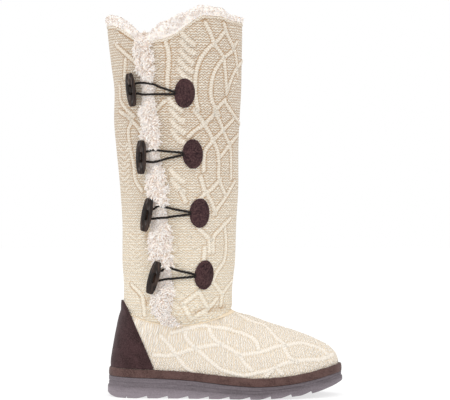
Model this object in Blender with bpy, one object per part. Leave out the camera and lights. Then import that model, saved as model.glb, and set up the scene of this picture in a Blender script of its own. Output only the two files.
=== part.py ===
"""A tall right-foot boot with a knitted upper, a lapped shaft with four toggles, fleece trim and a ripple sole.

Frame: +X runs from heel to toe, +Y to the inner (medial) side of the foot, +Z up. The origin is on the floor,
under the middle of the heel. Sizes are in metres. Angles round a section start at the toe side (+X) and
turn towards +Y, so 90 is the medial side, 180 the back and -90 the outer (lateral) side, where the toggles are.
"""

import math
from collections import namedtuple

import bmesh
import bpy
from mathutils import Vector

MM = 0.001

# Foot: the last that the upper is made on, measured outside the knit
FOOT_LENGTH = 252 * MM
HEEL_SETBACK = 25 * MM
BALL_WIDTH = 85 * MM
HEEL_WIDTH = 61 * MM
INSTEP_HEIGHT = 95 * MM

# Shaft, measured outside the knit
SHAFT_HEIGHT = 317 * MM
SHAFT_TOP_LENGTH = 151 * MM
SHAFT_TOP_WIDTH = 106 * MM
ANKLE_WIDTH = 88 * MM
SEAM_SIDE_DROP = 15 * MM
SEAM_PINCH = 1.3 * MM
SEAM_ROLL = 7 * MM

# Walls and the clearances between pieces
KNIT_WALL = 3 * MM
COUNTER_WALL = 1.6 * MM
CLEARANCE = 0.3 * MM
LAP_CLEARANCE = 0.6 * MM

# Sole
HEEL_THICKNESS = 22.8 * MM
BALL_THICKNESS = 13.3 * MM
TOE_SPRING = 17 * MM
SOLE_MARGIN = 5.3 * MM
TIER_STEP = 1.2 * MM
RAND_HEIGHT = 9 * MM
RAND_THICKNESS = 3.7 * MM
INSOLE_THICKNESS = 5 * MM
TOOTH_PITCH = 22.6 * MM
TOOTH_HEIGHT = 2.8 * MM
TOOTH_LAND = 10.5 * MM
TOOTH_WALL_RUN = 0.8 * MM
FIRST_TOOTH = -7.4 * MM
HEEL_BEVEL_LENGTH = 13 * MM
HEEL_BEVEL_RISE = 4 * MM

# Fleece trim
FLEECE_RISE = 15 * MM
FLEECE_DEPTH = 8.5 * MM
FLEECE_SKIRT = 22 * MM
FLEECE_LOCK = 1.5 * MM
PLACKET_HALF_WIDTH = 7.5 * MM
PLACKET_LOW_HALF_WIDTH = 11.5 * MM
PLACKET_DEPTH = 6.5 * MM
PLACKET_PRESSED_DEPTH = 1.3 * MM
PRESSED_BY_CORD = 15 * MM
PRESSED_BY_TOGGLE = 20 * MM

# Heel counter
COUNTER_HEIGHT = INSTEP_HEIGHT + 11 * MM
COUNTER_REACH = 47 * MM

# Toggles, cord loops and oval patches
TOGGLE_LENGTH = 37 * MM
TOGGLE_WIDTH = 12.5 * MM
TOGGLE_THICKNESS = 6.5 * MM
TOGGLE_HOLE_SPACING = 9.2 * MM
TOGGLE_HOLE_DIAMETER = 4.6 * MM
CORD_DIAMETER = 2.5 * MM
CORD_SPREAD = 13.5 * MM
PATCH_WIDTH = 21.5 * MM
PATCH_HEIGHT = 32 * MM
PATCH_THICKNESS = 1.8 * MM

# The outer side's overlap: the flap's free edge, and the edge hidden below it
FLAP_EDGE_LOW = -104
FLAP_EDGE_HIGH = -118
FLAP_EDGE_SPAN = 0.9
HIDDEN_EDGE = 285
LAP_START = -35
LAP_FULL = -72

# Counts of facets
FOOT_COLUMN_ANGLES = (0, 54, 126, 180)
FOOT_COLUMN_COUNTS = (6, 8, 8)
SHAFT_COLUMNS = 40
COLLAR_STATIONS = 71
PLACKET_STATIONS = 46
COUNTER_COLUMNS = 14

# Levels of the foot, from the sole up. height: share of the instep height. back, front, heel_round and
# toe_round: shares of the foot length, and the rounds are the lengths over which a level closes at its
# two ends. ankle: how far the level's width has gone from the foot's to the ankle's.
FootLevel = namedtuple("FootLevel", "height back front heel_round toe_round ankle")
FOOT_LEVELS = (
    FootLevel(0.10, 0.000, 0.996, 0.135, 0.230, 0.00),
    FootLevel(0.30, 0.000, 0.998, 0.135, 0.230, 0.00),
    FootLevel(0.39, 0.000, 1.000, 0.135, 0.240, 0.00),
    FootLevel(0.48, 0.004, 0.991, 0.137, 0.310, 0.04),
    FootLevel(0.57, 0.010, 0.962, 0.142, 0.400, 0.16),
    FootLevel(0.67, 0.017, 0.891, 0.152, 0.465, 0.34),
    FootLevel(0.76, 0.023, 0.805, 0.168, 0.490, 0.54),
    FootLevel(0.86, 0.030, 0.685, 0.195, 0.480, 0.76),
    FootLevel(0.95, 0.039, 0.592, 0.225, 0.370, 0.94),
    FootLevel(1.00, 0.046, 0.529, 0.242, 0.242, 1.00),
)

# Levels of the shaft, from the ankle up. height: share of the shaft height. spread: how far the section has
# gone from the ankle's size to the top's. lean: shift of its middle, as a share of the top's length.
ShaftLevel = namedtuple("ShaftLevel", "height spread lean")
SHAFT_LEVELS = (
    ShaftLevel(0.00, 0.00, 0.000),
    ShaftLevel(0.07, -0.04, 0.004),
    ShaftLevel(0.18, 0.14, 0.010),
    ShaftLevel(0.30, 0.18, 0.012),
    ShaftLevel(0.41, 0.31, 0.011),
    ShaftLevel(0.58, 0.49, -0.002),
    ShaftLevel(0.66, 0.60, -0.006),
    ShaftLevel(0.77, 0.67, 0.001),
    ShaftLevel(0.86, 0.81, -0.008),
    ShaftLevel(1.00, 1.00, -0.023),
    ShaftLevel(1.12, 1.08, -0.031),
)

# Plan of the foot. along: share of the foot length from the heel. fullness: how far the half width has gone
# from the heel's to the ball's. swing: the midline's shift to the medial side, as a share of the ball width.
FootPlan = namedtuple("FootPlan", "along fullness swing")
FOOT_PLAN = (
    FootPlan(0.00, 0.00, 0.000),
    FootPlan(0.15, 0.00, 0.000),
    FootPlan(0.30, 0.02, -0.020),
    FootPlan(0.45, 0.28, -0.050),
    FootPlan(0.60, 0.82, -0.048),
    FootPlan(0.69, 1.00, -0.030),
    FootPlan(0.79, 0.94, 0.004),
    FootPlan(0.90, 0.66, 0.045),
    FootPlan(1.00, 0.38, 0.080),
)

# Side view of the sole. heel: share of the extra thickness at the heel. spring and rocker: how far the
# sole's top and its tread rise at the toe, as shares of the toe spring. tier: height of the step in the
# sole's side, as a share of the thickness.
SoleProfile = namedtuple("SoleProfile", "along heel spring rocker tier")
SOLE_PROFILE = (
    SoleProfile(0.00, 1.00, 0.00, 0.00, 0.55),
    SoleProfile(0.20, 0.84, 0.00, 0.00, 0.53),
    SoleProfile(0.33, 0.65, 0.00, 0.00, 0.49),
    SoleProfile(0.54, 0.12, 0.00, 0.00, 0.39),
    SoleProfile(0.63, 0.00, 0.00, 0.00, 0.38),
    SoleProfile(0.70, 0.00, 0.03, 0.05, 0.42),
    SoleProfile(0.77, 0.00, 0.12, 0.14, 0.47),
    SoleProfile(0.88, 0.00, 0.37, 0.34, 0.55),
    SoleProfile(0.96, 0.00, 0.62, 0.66, 0.54),
    SoleProfile(1.02, 0.00, 0.80, 1.00, 0.52),
)

# The knit's top edge and the fleece above it, round the wrap from the flap's corner to the hidden edge.
# edge: height, as a share of the shaft height. rise: the fleece's height over the edge, as a share of
# FLEECE_RISE. skirt: how far it reaches down inside, as a share of FLEECE_SKIRT.
Collar = namedtuple("Collar", "angle edge rise skirt")
COLLAR = (
    Collar(-118, 0.922, 0.95, 0.10),
    Collar(-108, 0.931, 1.40, 0.16),
    Collar(-98, 0.939, 1.75, 0.18),
    Collar(-88, 0.957, 1.65, 0.30),
    Collar(-78, 0.988, 1.30, 0.45),
    Collar(-64, 1.019, 1.00, 0.90),
    Collar(-48, 1.018, 0.80, 1.00),
    Collar(-30, 1.006, 0.68, 1.00),
    Collar(0, 1.006, 0.55, 1.00),
    Collar(45, 0.978, 0.80, 1.00),
    Collar(90, 0.952, 0.90, 1.00),
    Collar(130, 0.950, 0.95, 1.00),
    Collar(160, 0.984, 1.00, 1.00),
    Collar(180, 0.997, 1.00, 1.00),
    Collar(208, 0.991, 0.95, 1.00),
    Collar(222, 0.973, 0.95, 1.00),
    Collar(233, 0.946, 0.95, 0.60),
    Collar(240, 0.910, 1.20, 0.12),
    Collar(250, 0.885, 0.70, 0.25),
    Collar(286, 0.880, 0.50, 0.25),
)

# The four fastenings, from the top. toggle and patch: heights, as shares of the shaft height above the
# ankle, and angles on the section. tilt: the toggle's lean, top towards the toe, in degrees. lift: its
# height over the back panel, as a share of its thickness. climb: how far the cords stand above the
# toggle's middle where they reach it, as a share of their spread.
Fastening = namedtuple("Fastening", "toggle_height toggle_angle tilt lift climb patch_height patch_angle")
FASTENINGS = (
    Fastening(0.765, -130.5, -7, 0.72, 0.10, 0.752, -83.0),
    Fastening(0.534, -121.0, 2, 1.10, 0.07, 0.544, -75.5),
    Fastening(0.336, -118.5, 12, 1.08, 0.21, 0.341, -69.5),
    Fastening(0.122, -111.5, 17, 1.40, 0.34, 0.128, -63.0),
)

# Shares of the height between a piece's lower and upper edge at which its rows of points lie
FOOT_ROWS = (0.0, 0.12, 0.24, 0.36, 0.48, 0.60, 0.71, 0.82, 0.91, 0.965, 1.0)
SHAFT_ROWS = (0.0, 0.010, 0.025, 0.06, 0.13, 0.23, 0.35, 0.48, 0.61, 0.74, 0.87, 1.0)
COUNTER_LEVELS = (0.0, 0.10, 0.21, 0.32, 0.43, 0.54, 0.65, 0.75, 0.84, 0.91, 0.96, 1.0)


def curve_through(rows, name):
    """A smooth function through one column of a table, with no overshoot between its rows."""
    xs = [row[0] for row in rows]
    ys = [getattr(row, name) for row in rows]
    steps = [b - a for a, b in zip(xs, xs[1:])]
    grades = [(b - a) / step for a, b, step in zip(ys, ys[1:], steps)]
    slopes = [grades[0]]
    for before, after in zip(grades, grades[1:]):
        turning = before * after <= 0
        slopes.append(0.0 if turning else 2 * before * after / (before + after))
    slopes.append(grades[-1])

    def value(x):
        x = min(max(x, xs[0]), xs[-1])
        i = max(k for k in range(len(steps)) if xs[k] <= x)
        u = (x - xs[i]) / steps[i]
        rise = steps[i] * (slopes[i] * u * (1 - u) ** 2 - slopes[i + 1] * u**2 * (1 - u))
        return ys[i] + (ys[i + 1] - ys[i]) * u * u * (3 - 2 * u) + rise

    return value


FOOT = {name: curve_through(FOOT_LEVELS, name) for name in FootLevel._fields[1:]}
SHAFT = {name: curve_through(SHAFT_LEVELS, name) for name in ShaftLevel._fields[1:]}
PLAN = {name: curve_through(FOOT_PLAN, name) for name in FootPlan._fields[1:]}
SOLE = {name: curve_through(SOLE_PROFILE, name) for name in SoleProfile._fields[1:]}
RIM = {name: curve_through(COLLAR, name) for name in Collar._fields[1:]}

Section = namedtuple("Section", "back front heel_round toe_round ankle half_width")


def mix(a, b, share):
    """The value a share of the way from a to b."""
    return a + (b - a) * share


def smooth_step(start, end, value):
    """0 before start and 1 after end, with an easy passage between them."""
    share = min(max((value - start) / (end - start), 0), 1)
    return share * share * (3 - 2 * share)


def closing(distance, length):
    """How far a section has opened at this distance from its end: a quarter of an ellipse."""
    return math.sqrt(max(1 - (1 - min(max(distance / length, 0), 1)) ** 2, 0))


def along_foot(x):
    """Share of the foot length at x, from the upper's back."""
    return (x + HEEL_SETBACK) / FOOT_LENGTH


def section_at(z):
    """The level section of the last at height z: the foot's up to the instep, and the shaft's above it."""
    height = z / INSTEP_HEIGHT
    back = FOOT["back"](height) * FOOT_LENGTH - HEEL_SETBACK
    front = FOOT["front"](height) * FOOT_LENGTH - HEEL_SETBACK
    heel_round = FOOT["heel_round"](height) * FOOT_LENGTH
    toe_round = FOOT["toe_round"](height) * FOOT_LENGTH
    if z <= INSTEP_HEIGHT:
        return Section(back, front, heel_round, toe_round, FOOT["ankle"](height), ANKLE_WIDTH / 2)
    share = (z - INSTEP_HEIGHT) / SHAFT_HEIGHT
    spread = SHAFT["spread"](share)
    half_length = mix(front - back, SHAFT_TOP_LENGTH, spread) / 2
    middle = (front + back) / 2 + SHAFT["lean"](share) * SHAFT_TOP_LENGTH
    half_width = mix(ANKLE_WIDTH, SHAFT_TOP_WIDTH, max(spread, 0)) / 2
    return Section(middle - half_length, middle + half_length, half_length, half_length, 1.0, half_width)


def plan_point(section, angle, margin=0.0):
    """The point of a level section at an angle, moved out by a margin all round."""
    back, front = section.back - margin, section.front + margin
    x = back + (front - back) * (1 + math.cos(angle)) / 2
    along = along_foot(x)
    foot_half = mix(HEEL_WIDTH, BALL_WIDTH, PLAN["fullness"](along)) / 2
    half = mix(foot_half, section.half_width, section.ankle) + margin
    half *= closing(x - back, section.heel_round + margin) * closing(front - x, section.toe_round + margin)
    swing = PLAN["swing"](along) * BALL_WIDTH * (1 - section.ankle)
    return x, swing + math.copysign(half, math.sin(angle))


def last_point(angle, z):
    """The point of the outer surface at an angle and a height."""
    x, y = plan_point(section_at(z), angle)
    return Vector((x, y, z))


def last_normal(angle, z):
    """The outward normal of the outer surface."""
    turn, climb = 0.03, 0.8 * MM
    across = last_point(angle + turn, z) - last_point(angle - turn, z)
    upward = last_point(angle, z + climb) - last_point(angle, z - climb)
    return across.cross(upward).normalized()


def offset_point(angle, z, offset):
    """The point this far out from the outer surface, along its normal."""
    return last_point(angle, z) + last_normal(angle, z) * offset


def sole_top(x):
    """Height of the outsole's upper face."""
    along = along_foot(x)
    lift = (HEEL_THICKNESS - BALL_THICKNESS) * SOLE["heel"](along)
    return BALL_THICKNESS + lift + TOE_SPRING * SOLE["spring"](along)


def tread(x):
    """Height of the tread at the tips of its teeth."""
    return TOE_SPRING * SOLE["rocker"](along_foot(x))


def ankle_seam(x):
    """Height of the seam between foot and shaft: high at instep and heel, low at the sides."""
    ankle = section_at(INSTEP_HEIGHT)
    half_length = (ankle.front - ankle.back) / 2
    share = (x - (ankle.front + ankle.back) / 2) / half_length
    return INSTEP_HEIGHT - SEAM_SIDE_DROP * (1 - min(share * share, 1))


def seam_height(angle):
    """Height at which the column at this angle meets the seam, found by halving."""
    low, high = INSTEP_HEIGHT - 2 * SEAM_SIDE_DROP, INSTEP_HEIGHT
    for _ in range(30):
        middle = (low + high) / 2
        if middle < ankle_seam(last_point(angle, middle).x):
            low = middle
        else:
            high = middle
    return (low + high) / 2


def feather_height(angle, clearance):
    """Height at which the column at this angle stands on the outsole."""
    z = BALL_THICKNESS
    for _ in range(6):
        z = sole_top(last_point(angle, z).x) + clearance
    return z


def shaft_share(z):
    """Share of the shaft's height, from the ankle."""
    return (z - INSTEP_HEIGHT) / SHAFT_HEIGHT


def flap_edge(z):
    """Angle of the flap's free edge, which runs a little to the back as it climbs."""
    share = min(max(shaft_share(z) / FLAP_EDGE_SPAN, 0), 1)
    return math.radians(mix(FLAP_EDGE_LOW, FLAP_EDGE_HIGH, share))


def lap_offset(angle):
    """How far out the flap lies, over the edge that it covers."""
    if angle > math.radians(LAP_START):
        return 0.0
    lap = KNIT_WALL + LAP_CLEARANCE
    return lap * smooth_step(math.radians(-LAP_START), math.radians(-LAP_FULL), -angle)


def collar_height(angle):
    """Height of the knit's top edge."""
    return INSTEP_HEIGHT + SHAFT_HEIGHT * RIM["edge"](math.degrees(angle))


def faceted_collar_height(angle):
    """Height of the knit's top edge as the shaft's columns draw it, straight from one to the next."""
    start, end = flap_edge(INSTEP_HEIGHT + SHAFT_HEIGHT), math.radians(HIDDEN_EDGE)
    place = (angle - start) / (end - start) * SHAFT_COLUMNS
    column = min(max(math.floor(place), 0), SHAFT_COLUMNS - 1)
    ends = [collar_height(mix(start, end, (column + i) / SHAFT_COLUMNS)) for i in (0, 1)]
    return mix(*ends, place - column)


def seam_roll(distance):
    """The knit is drawn in at the ankle seam, and rolls out to its full size beside it."""
    return -SEAM_PINCH * (1 - smooth_step(0, SEAM_ROLL, distance))


def material(name, colour, roughness):
    """A plain material."""
    made = bpy.data.materials.new(name)
    made.use_nodes = True
    shader = made.node_tree.nodes["Principled BSDF"]
    shader.inputs["Base Color"].default_value = (*colour, 1.0)
    shader.inputs["Roughness"].default_value = roughness
    shader.inputs["Metallic"].default_value = 0.0
    return made


def add_object(name, mesh, surface):
    """A mesh as a named object with its material, under the boot's empty."""
    mesh.materials.append(surface)
    mesh.shade_smooth()
    mesh.set_sharp_from_angle(angle=math.radians(35))
    made = bpy.data.objects.new(name, mesh)
    bpy.context.scene.collection.objects.link(made)
    made.parent = BOOT
    return made


def mesh_from(name, points, faces):
    """A mesh from points and faces, with its normals turned out."""
    grid = bmesh.new()
    verts = [grid.verts.new(point) for point in points]
    for face in faces:
        grid.faces.new([verts[i] for i in face])
    bmesh.ops.recalc_face_normals(grid, faces=grid.faces)
    mesh = bpy.data.meshes.new(name)
    grid.to_mesh(mesh)
    grid.free()
    return mesh


def band_mesh(name, stations, closed):
    """A solid from closed sections, one for each station, as a ring or with a laddered cap at each end."""
    count = len(stations[0])
    points = [point for station in stations for point in station]
    spans = len(stations) if closed else len(stations) - 1
    faces = []
    for i in range(spans):
        here, there = i * count, (i + 1) % len(stations) * count
        for k in range(count):
            after = (k + 1) % count
            faces.append((here + k, there + k, there + after, here + after))
    if not closed:
        for base in (0, (len(stations) - 1) * count):
            for k in range((count - 1) // 2):
                other = count - 1 - k
                face = (base + k, base + k + 1, base + other - 1, base + other)
                faces.append(face if other - 1 > k + 1 else face[:2] + face[3:])
    return mesh_from(name, points, faces)


def wall_stations(columns, rows_of, outer_of, wall):
    """Sections of a wall, one for each column: up its outer face and down its inner one."""
    stations = []
    for angle in columns:
        rows = rows_of(angle)
        outer = [offset_point(angle, z, outer_of(angle, z, rows)) for z in rows]
        inner = [offset_point(angle, z, outer_of(angle, z, rows) - wall) for z in rows]
        stations.append(outer + inner[::-1])
    return stations


def foot_columns():
    """Angles of the foot's columns, closer together round the toe and the heel."""
    runs = zip(FOOT_COLUMN_ANGLES, FOOT_COLUMN_ANGLES[1:], FOOT_COLUMN_COUNTS)
    half = [mix(start, end, i / steps) for start, end, steps in runs for i in range(steps)]
    return [math.radians(angle) for angle in half + [180.0] + [360 - angle for angle in half[:0:-1]]]


def build_upper(surface):
    """The knitted foot: one hollow wall, open to the shaft and over the sole."""

    def rows_of(angle):
        low = feather_height(angle, CLEARANCE)
        high = seam_height(angle) - CLEARANCE
        return [mix(low, high, share) for share in FOOT_ROWS]

    def outer_of(angle, z, rows):
        return seam_roll(rows[-1] - z)

    stations = wall_stations(foot_columns(), rows_of, outer_of, KNIT_WALL)
    return add_object("upper", band_mesh("upper", stations, closed=True), surface)


def build_shaft(surface):
    """The knitted shaft: one wall wrapped round the leg, its flap lapped over its hidden edge."""
    edge = flap_edge(INSTEP_HEIGHT)
    hidden = math.radians(HIDDEN_EDGE)
    stations = []
    for i in range(SHAFT_COLUMNS + 1):
        share = i / SHAFT_COLUMNS
        top_angle = mix(flap_edge(INSTEP_HEIGHT + SHAFT_HEIGHT), hidden, share)
        low = seam_height(mix(edge, hidden, share)) + CLEARANCE
        high = collar_height(top_angle)
        outer, inner = [], []
        for row in SHAFT_ROWS:
            z = mix(low, high, row)
            angle = mix(flap_edge(z), hidden, share)
            offset = lap_offset(angle) + seam_roll(z - low)
            outer.append(offset_point(angle, z, offset))
            inner.append(offset_point(angle, z, offset - KNIT_WALL))
        stations.append(outer + inner[::-1])
    return add_object("shaft", band_mesh("shaft", stations, closed=False), surface)


def counter_edge(z):
    """Where the heel counter's edge crosses a height in the side view, bowed a little towards the toe."""
    low = HEEL_THICKNESS + RAND_HEIGHT
    share = min(max((COUNTER_HEIGHT - z) / (COUNTER_HEIGHT - low), 0), 1)
    return mix(section_at(COUNTER_HEIGHT).back, COUNTER_REACH - HEEL_SETBACK, share**0.84)


def counter_reach(z):
    """Angle from the back to the heel counter's edge at this height, found by halving."""
    near, far = 0.0, math.pi / 2
    for _ in range(30):
        middle = (near + far) / 2
        if last_point(math.pi - middle, z).x < counter_edge(z):
            near = middle
        else:
            far = middle
    return max((near + far) / 2, math.radians(2))


def build_counter(surface):
    """The suede heel counter, cut from a shell just outside the upper's own surface."""
    stations = []
    for share in COUNTER_LEVELS:
        reach = counter_reach(mix(HEEL_THICKNESS + RAND_HEIGHT, COUNTER_HEIGHT, share))
        outer, inner = [], []
        for i in range(COUNTER_COLUMNS + 1):
            angle = math.pi + mix(-reach, reach, i / COUNTER_COLUMNS)
            low = sole_top(last_point(angle, HEEL_THICKNESS).x) + RAND_HEIGHT + 3 * CLEARANCE
            z = mix(low, COUNTER_HEIGHT, share)
            outer.append(offset_point(angle, z, 2.5 * CLEARANCE + COUNTER_WALL))
            inner.append(offset_point(angle, z, 2.5 * CLEARANCE))
        stations.append(outer + inner[::-1])
    return add_object("heel_counter", band_mesh("heel_counter", stations, closed=False), surface)


def sole_angles():
    """Angles of the sole's columns, so that each tooth of the tread starts and ends on a column."""
    section = section_at(BALL_THICKNESS)
    back, front = section.back - SOLE_MARGIN, section.front + SOLE_MARGIN
    stops = [back + HEEL_BEVEL_LENGTH * share for share in (0.01, 0.09, 0.27, 0.55, 1.0)]
    stops.append(FIRST_TOOTH - 3 * TOOTH_WALL_RUN)
    wall = FIRST_TOOTH
    while wall < front - TOOTH_PITCH:
        slope = TOOTH_PITCH - TOOTH_WALL_RUN - TOOTH_LAND
        after = wall + TOOTH_PITCH if wall + 2 * TOOTH_PITCH < front else front
        stops += [wall - TOOTH_WALL_RUN, wall, wall + TOOTH_LAND]
        if after < front:
            stops.append(wall + TOOTH_LAND + slope / 2)
        wall += TOOTH_PITCH
    left = front - stops[-1]
    stops += [front - left * share for share in (0.62, 0.34, 0.15, 0.05, 0.004)]
    return [math.acos(2 * (x - back) / (front - back) - 1) for x in stops]


def tooth_rise(x):
    """How far the tread stands back from the tips of its teeth: flat behind, then sloping up to the next."""
    section = section_at(BALL_THICKNESS)
    back, front = section.back - SOLE_MARGIN, section.front + SOLE_MARGIN
    if x < FIRST_TOOTH - TOOTH_WALL_RUN / 2:
        near = min(max((back + HEEL_BEVEL_LENGTH - x) / HEEL_BEVEL_LENGTH, 0), 1)
        slit = TOOTH_HEIGHT if x > FIRST_TOOTH - 1.5 * TOOTH_WALL_RUN else 0.0
        return HEEL_BEVEL_RISE * near * near + slit
    place = (x - FIRST_TOOTH + TOOTH_WALL_RUN / 2) % TOOTH_PITCH - TOOTH_WALL_RUN / 2
    tooth = math.floor((x - FIRST_TOOTH + TOOTH_WALL_RUN / 2) / TOOTH_PITCH)
    if FIRST_TOOTH + (tooth + 2) * TOOTH_PITCH > front:
        return 0.0
    run = TOOTH_PITCH - TOOTH_WALL_RUN - TOOTH_LAND
    return TOOTH_HEIGHT * min(max((place - TOOTH_LAND) / run, 0), 1) ** 1.2


def build_outsole(surface):
    """The ripple sole: two tiers with a step between them, over a tread of sloping teeth."""
    half = sole_angles()
    columns = half + [-angle for angle in reversed(half)]
    section = section_at(BALL_THICKNESS)
    back = section.back - SOLE_MARGIN
    length = section.front - section.back + 2 * SOLE_MARGIN

    def ring(margin, height_of):
        points = []
        for angle in columns:
            x, y = plan_point(section, angle, margin)
            level = back + length * (1 + math.cos(angle)) / 2
            points.append(Vector((x, y, height_of(level))))
        return points

    def tier(x):
        return mix(tread(x), sole_top(x), SOLE["tier"](along_foot(x)))

    inset = SOLE_MARGIN - TIER_STEP
    rings = [
        ring(inset, sole_top),
        ring(inset, lambda x: tier(x) + TIER_STEP / 2),
        ring(SOLE_MARGIN, lambda x: tier(x) - TIER_STEP / 2),
        ring(SOLE_MARGIN, lambda x: tread(x) + tooth_rise(x)),
    ]
    count = len(columns)
    points = [point for level in rings for point in level]
    faces = []
    for j in range(len(rings) - 1):
        for i in range(count):
            after = (i + 1) % count
            faces.append((j * count + i, j * count + after, (j + 1) * count + after, (j + 1) * count + i))
    for base in (0, (len(rings) - 1) * count):
        for i in range(len(half) - 1):
            other = count - 1 - i
            faces.append((base + i, base + i + 1, base + other - 1, base + other))
    return add_object("outsole", mesh_from("outsole", points, faces), surface)


def build_rand(surface):
    """The band round the sole's edge, between the upper and the outsole, with a rolled top."""
    # out: share of the band's thickness. up: share of its height.
    profile = ((1.0, 0.0), (1.0, 0.62), (0.86, 0.88), (0.5, 1.0))
    stations = []
    for angle in foot_columns():
        low = feather_height(angle, 1.5 * CLEARANCE)
        outer = []
        for out, up in profile:
            x, y = plan_point(section_at(low), angle, CLEARANCE + RAND_THICKNESS * out)
            outer.append(Vector((x, y, sole_top(x) + 1.5 * CLEARANCE + RAND_HEIGHT * up)))
        inner = [offset_point(angle, low + RAND_HEIGHT * up, 1.5 * CLEARANCE) for up in (0.94, 0.5, 0.0)]
        stations.append(outer + inner)
    return add_object("rand", band_mesh("rand", stations, closed=True), surface)


def build_insole(surface):
    """The insole, lying on the outsole inside the upper."""
    inset = -(KNIT_WALL + 2 * CLEARANCE)
    columns = 36
    angles = [math.pi * (i + 0.5) / (columns // 2) for i in range(columns // 2)]
    columns_all = angles + [-angle for angle in reversed(angles)]
    section = section_at(BALL_THICKNESS + INSOLE_THICKNESS)
    rings = []
    for up in (CLEARANCE, CLEARANCE + INSOLE_THICKNESS):
        for angle in columns_all:
            x, y = plan_point(section, angle, inset)
            rings.append(Vector((x, y, sole_top(x) + up)))
    count = len(columns_all)
    faces = [(i, (i + 1) % count, count + (i + 1) % count, count + i) for i in range(count)]
    for base in (0, count):
        for i in range(len(angles) - 1):
            other = count - 1 - i
            faces.append((base + i, base + i + 1, base + other - 1, base + other))
    return add_object("insole", mesh_from("insole", rings, faces), surface)


def lock(i, k):
    """Height of the fleece's lock at a place of its grid, from -1 to 1."""
    return math.sin(2.3 * i + 1.7 * math.sin(1.9 * k)) * math.cos(1.1 * i - 2.1 * k)


def build_collar_fleece(surface):
    """The fleece that stands over the knit's top edge and lines the shaft's mouth, with its locks."""
    # out: distance inwards from the knit's outer face, as a share of wall and fleece together.
    # up: share of the rise above the edge, or of the skirt below it where it is negative.
    # rough: how much of a lock's height the point takes.
    section = (
        (0.10, 0.0, 0.0),
        (0.00, 0.36, 0.6),
        (0.08, 0.76, 1.0),
        (0.36, 1.00, 1.0),
        (0.70, 0.92, 1.0),
        (0.98, 0.52, 1.0),
        (1.03, -0.10, 1.0),
        (0.62, -1.0, 0.3),
    )
    reach = KNIT_WALL + FLEECE_DEPTH
    start = flap_edge(INSTEP_HEIGHT + SHAFT_HEIGHT)
    stations = []
    for i in range(COLLAR_STATIONS + 1):
        angle = mix(start, math.radians(HIDDEN_EDGE), max(i, 0.3) / 2 / SHAFT_COLUMNS)
        edge = faceted_collar_height(angle) + 1.5 * CLEARANCE
        end = min(i, COLLAR_STATIONS - i, 2) / 2
        rise = FLEECE_RISE * RIM["rise"](math.degrees(angle)) * mix(0.6, 1, end)
        skirt = FLEECE_SKIRT * RIM["skirt"](math.degrees(angle))
        lap = lap_offset(angle)
        points = []
        for k, (out, up, rough) in enumerate(section):
            bump = FLEECE_LOCK * rough * lock(i, k)
            z = edge + (rise + bump if up > 0 else skirt) * up
            points.append(offset_point(angle, z, lap - reach * out + bump * (0.5 - out)))
        inner = lap - KNIT_WALL - 2.5 * CLEARANCE
        points.append(offset_point(angle, edge - skirt, inner))
        points.append(offset_point(angle, edge, inner))
        stations.append(points)
    return add_object("collar_fleece", band_mesh("collar_fleece", stations, closed=False), surface)


def shift_angle(angle, z, distance):
    """The angle this far along the surface from another, at the same height."""
    turn = 0.02
    length = (last_point(angle + turn, z) - last_point(angle - turn, z)).length
    return angle + distance * 2 * turn / length


def placket_half_width(z):
    """Half the width of the fleece along the flap's edge, which narrows as it climbs."""
    return mix(PLACKET_LOW_HALF_WIDTH, PLACKET_HALF_WIDTH, min(max(1.5 * shaft_share(z), 0), 1))


def freedom(z, span):
    """How free the fleece stands at a height: 0 where a fastening presses it down, 1 away from it."""
    heights = [INSTEP_HEIGHT + SHAFT_HEIGHT * row.toggle_height for row in FASTENINGS]
    return smooth_step(span, span + 6 * MM, min(abs(z - height) for height in heights))


def build_placket_fleece(surface):
    """The fleece along the flap's free edge, with its locks, pressed down where the loops cross it."""
    # across: share of the half width, forward over the flap. deep: share of the depth.
    crown = ((1.0, 0.30), (0.78, 0.78), (0.36, 1.0), (-0.12, 1.02), (-0.58, 0.84), (-0.92, 0.42))
    lap = KNIT_WALL + LAP_CLEARANCE
    low = seam_height(flap_edge(INSTEP_HEIGHT)) + 2 * CLEARANCE
    top_edge = flap_edge(INSTEP_HEIGHT + SHAFT_HEIGHT)
    high = collar_height(top_edge) - 2 * CLEARANCE
    stations = []
    for i in range(PLACKET_STATIONS + 1):
        z = mix(low, high, i / PLACKET_STATIONS)
        edge = flap_edge(z)
        half = placket_half_width(z)
        ending = min(i, PLACKET_STATIONS - i, 2) / 2
        roll = seam_roll(z - low)
        points = []
        for k, (across, deep) in enumerate(crown):
            free = freedom(z, PRESSED_BY_CORD if across > 0.3 else PRESSED_BY_TOGGLE)
            depth = mix(PLACKET_PRESSED_DEPTH, PLACKET_DEPTH, free) * mix(0.6, 1, ending)
            bump = FLEECE_LOCK * lock(i, k) * free * ending
            ground = mix(0, lap, smooth_step(-0.9, 0.2, across))
            angle = shift_angle(edge, z, half * across + bump * 0.6)
            points.append(offset_point(angle, z, roll + ground + 2 * CLEARANCE + (depth + bump) * deep))
        behind = -4.5 * CLEARANCE / half
        foot = ((-1.0, 0.0), (behind, 0.0), (behind, lap), (0.95, lap))
        for across, ground in foot:
            angle = shift_angle(edge, z, half * across)
            points.append(offset_point(angle, z, roll + ground + 2 * CLEARANCE))
        stations.append(points)
    return add_object("placket_fleece", band_mesh("placket_fleece", stations, closed=False), surface)


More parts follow.
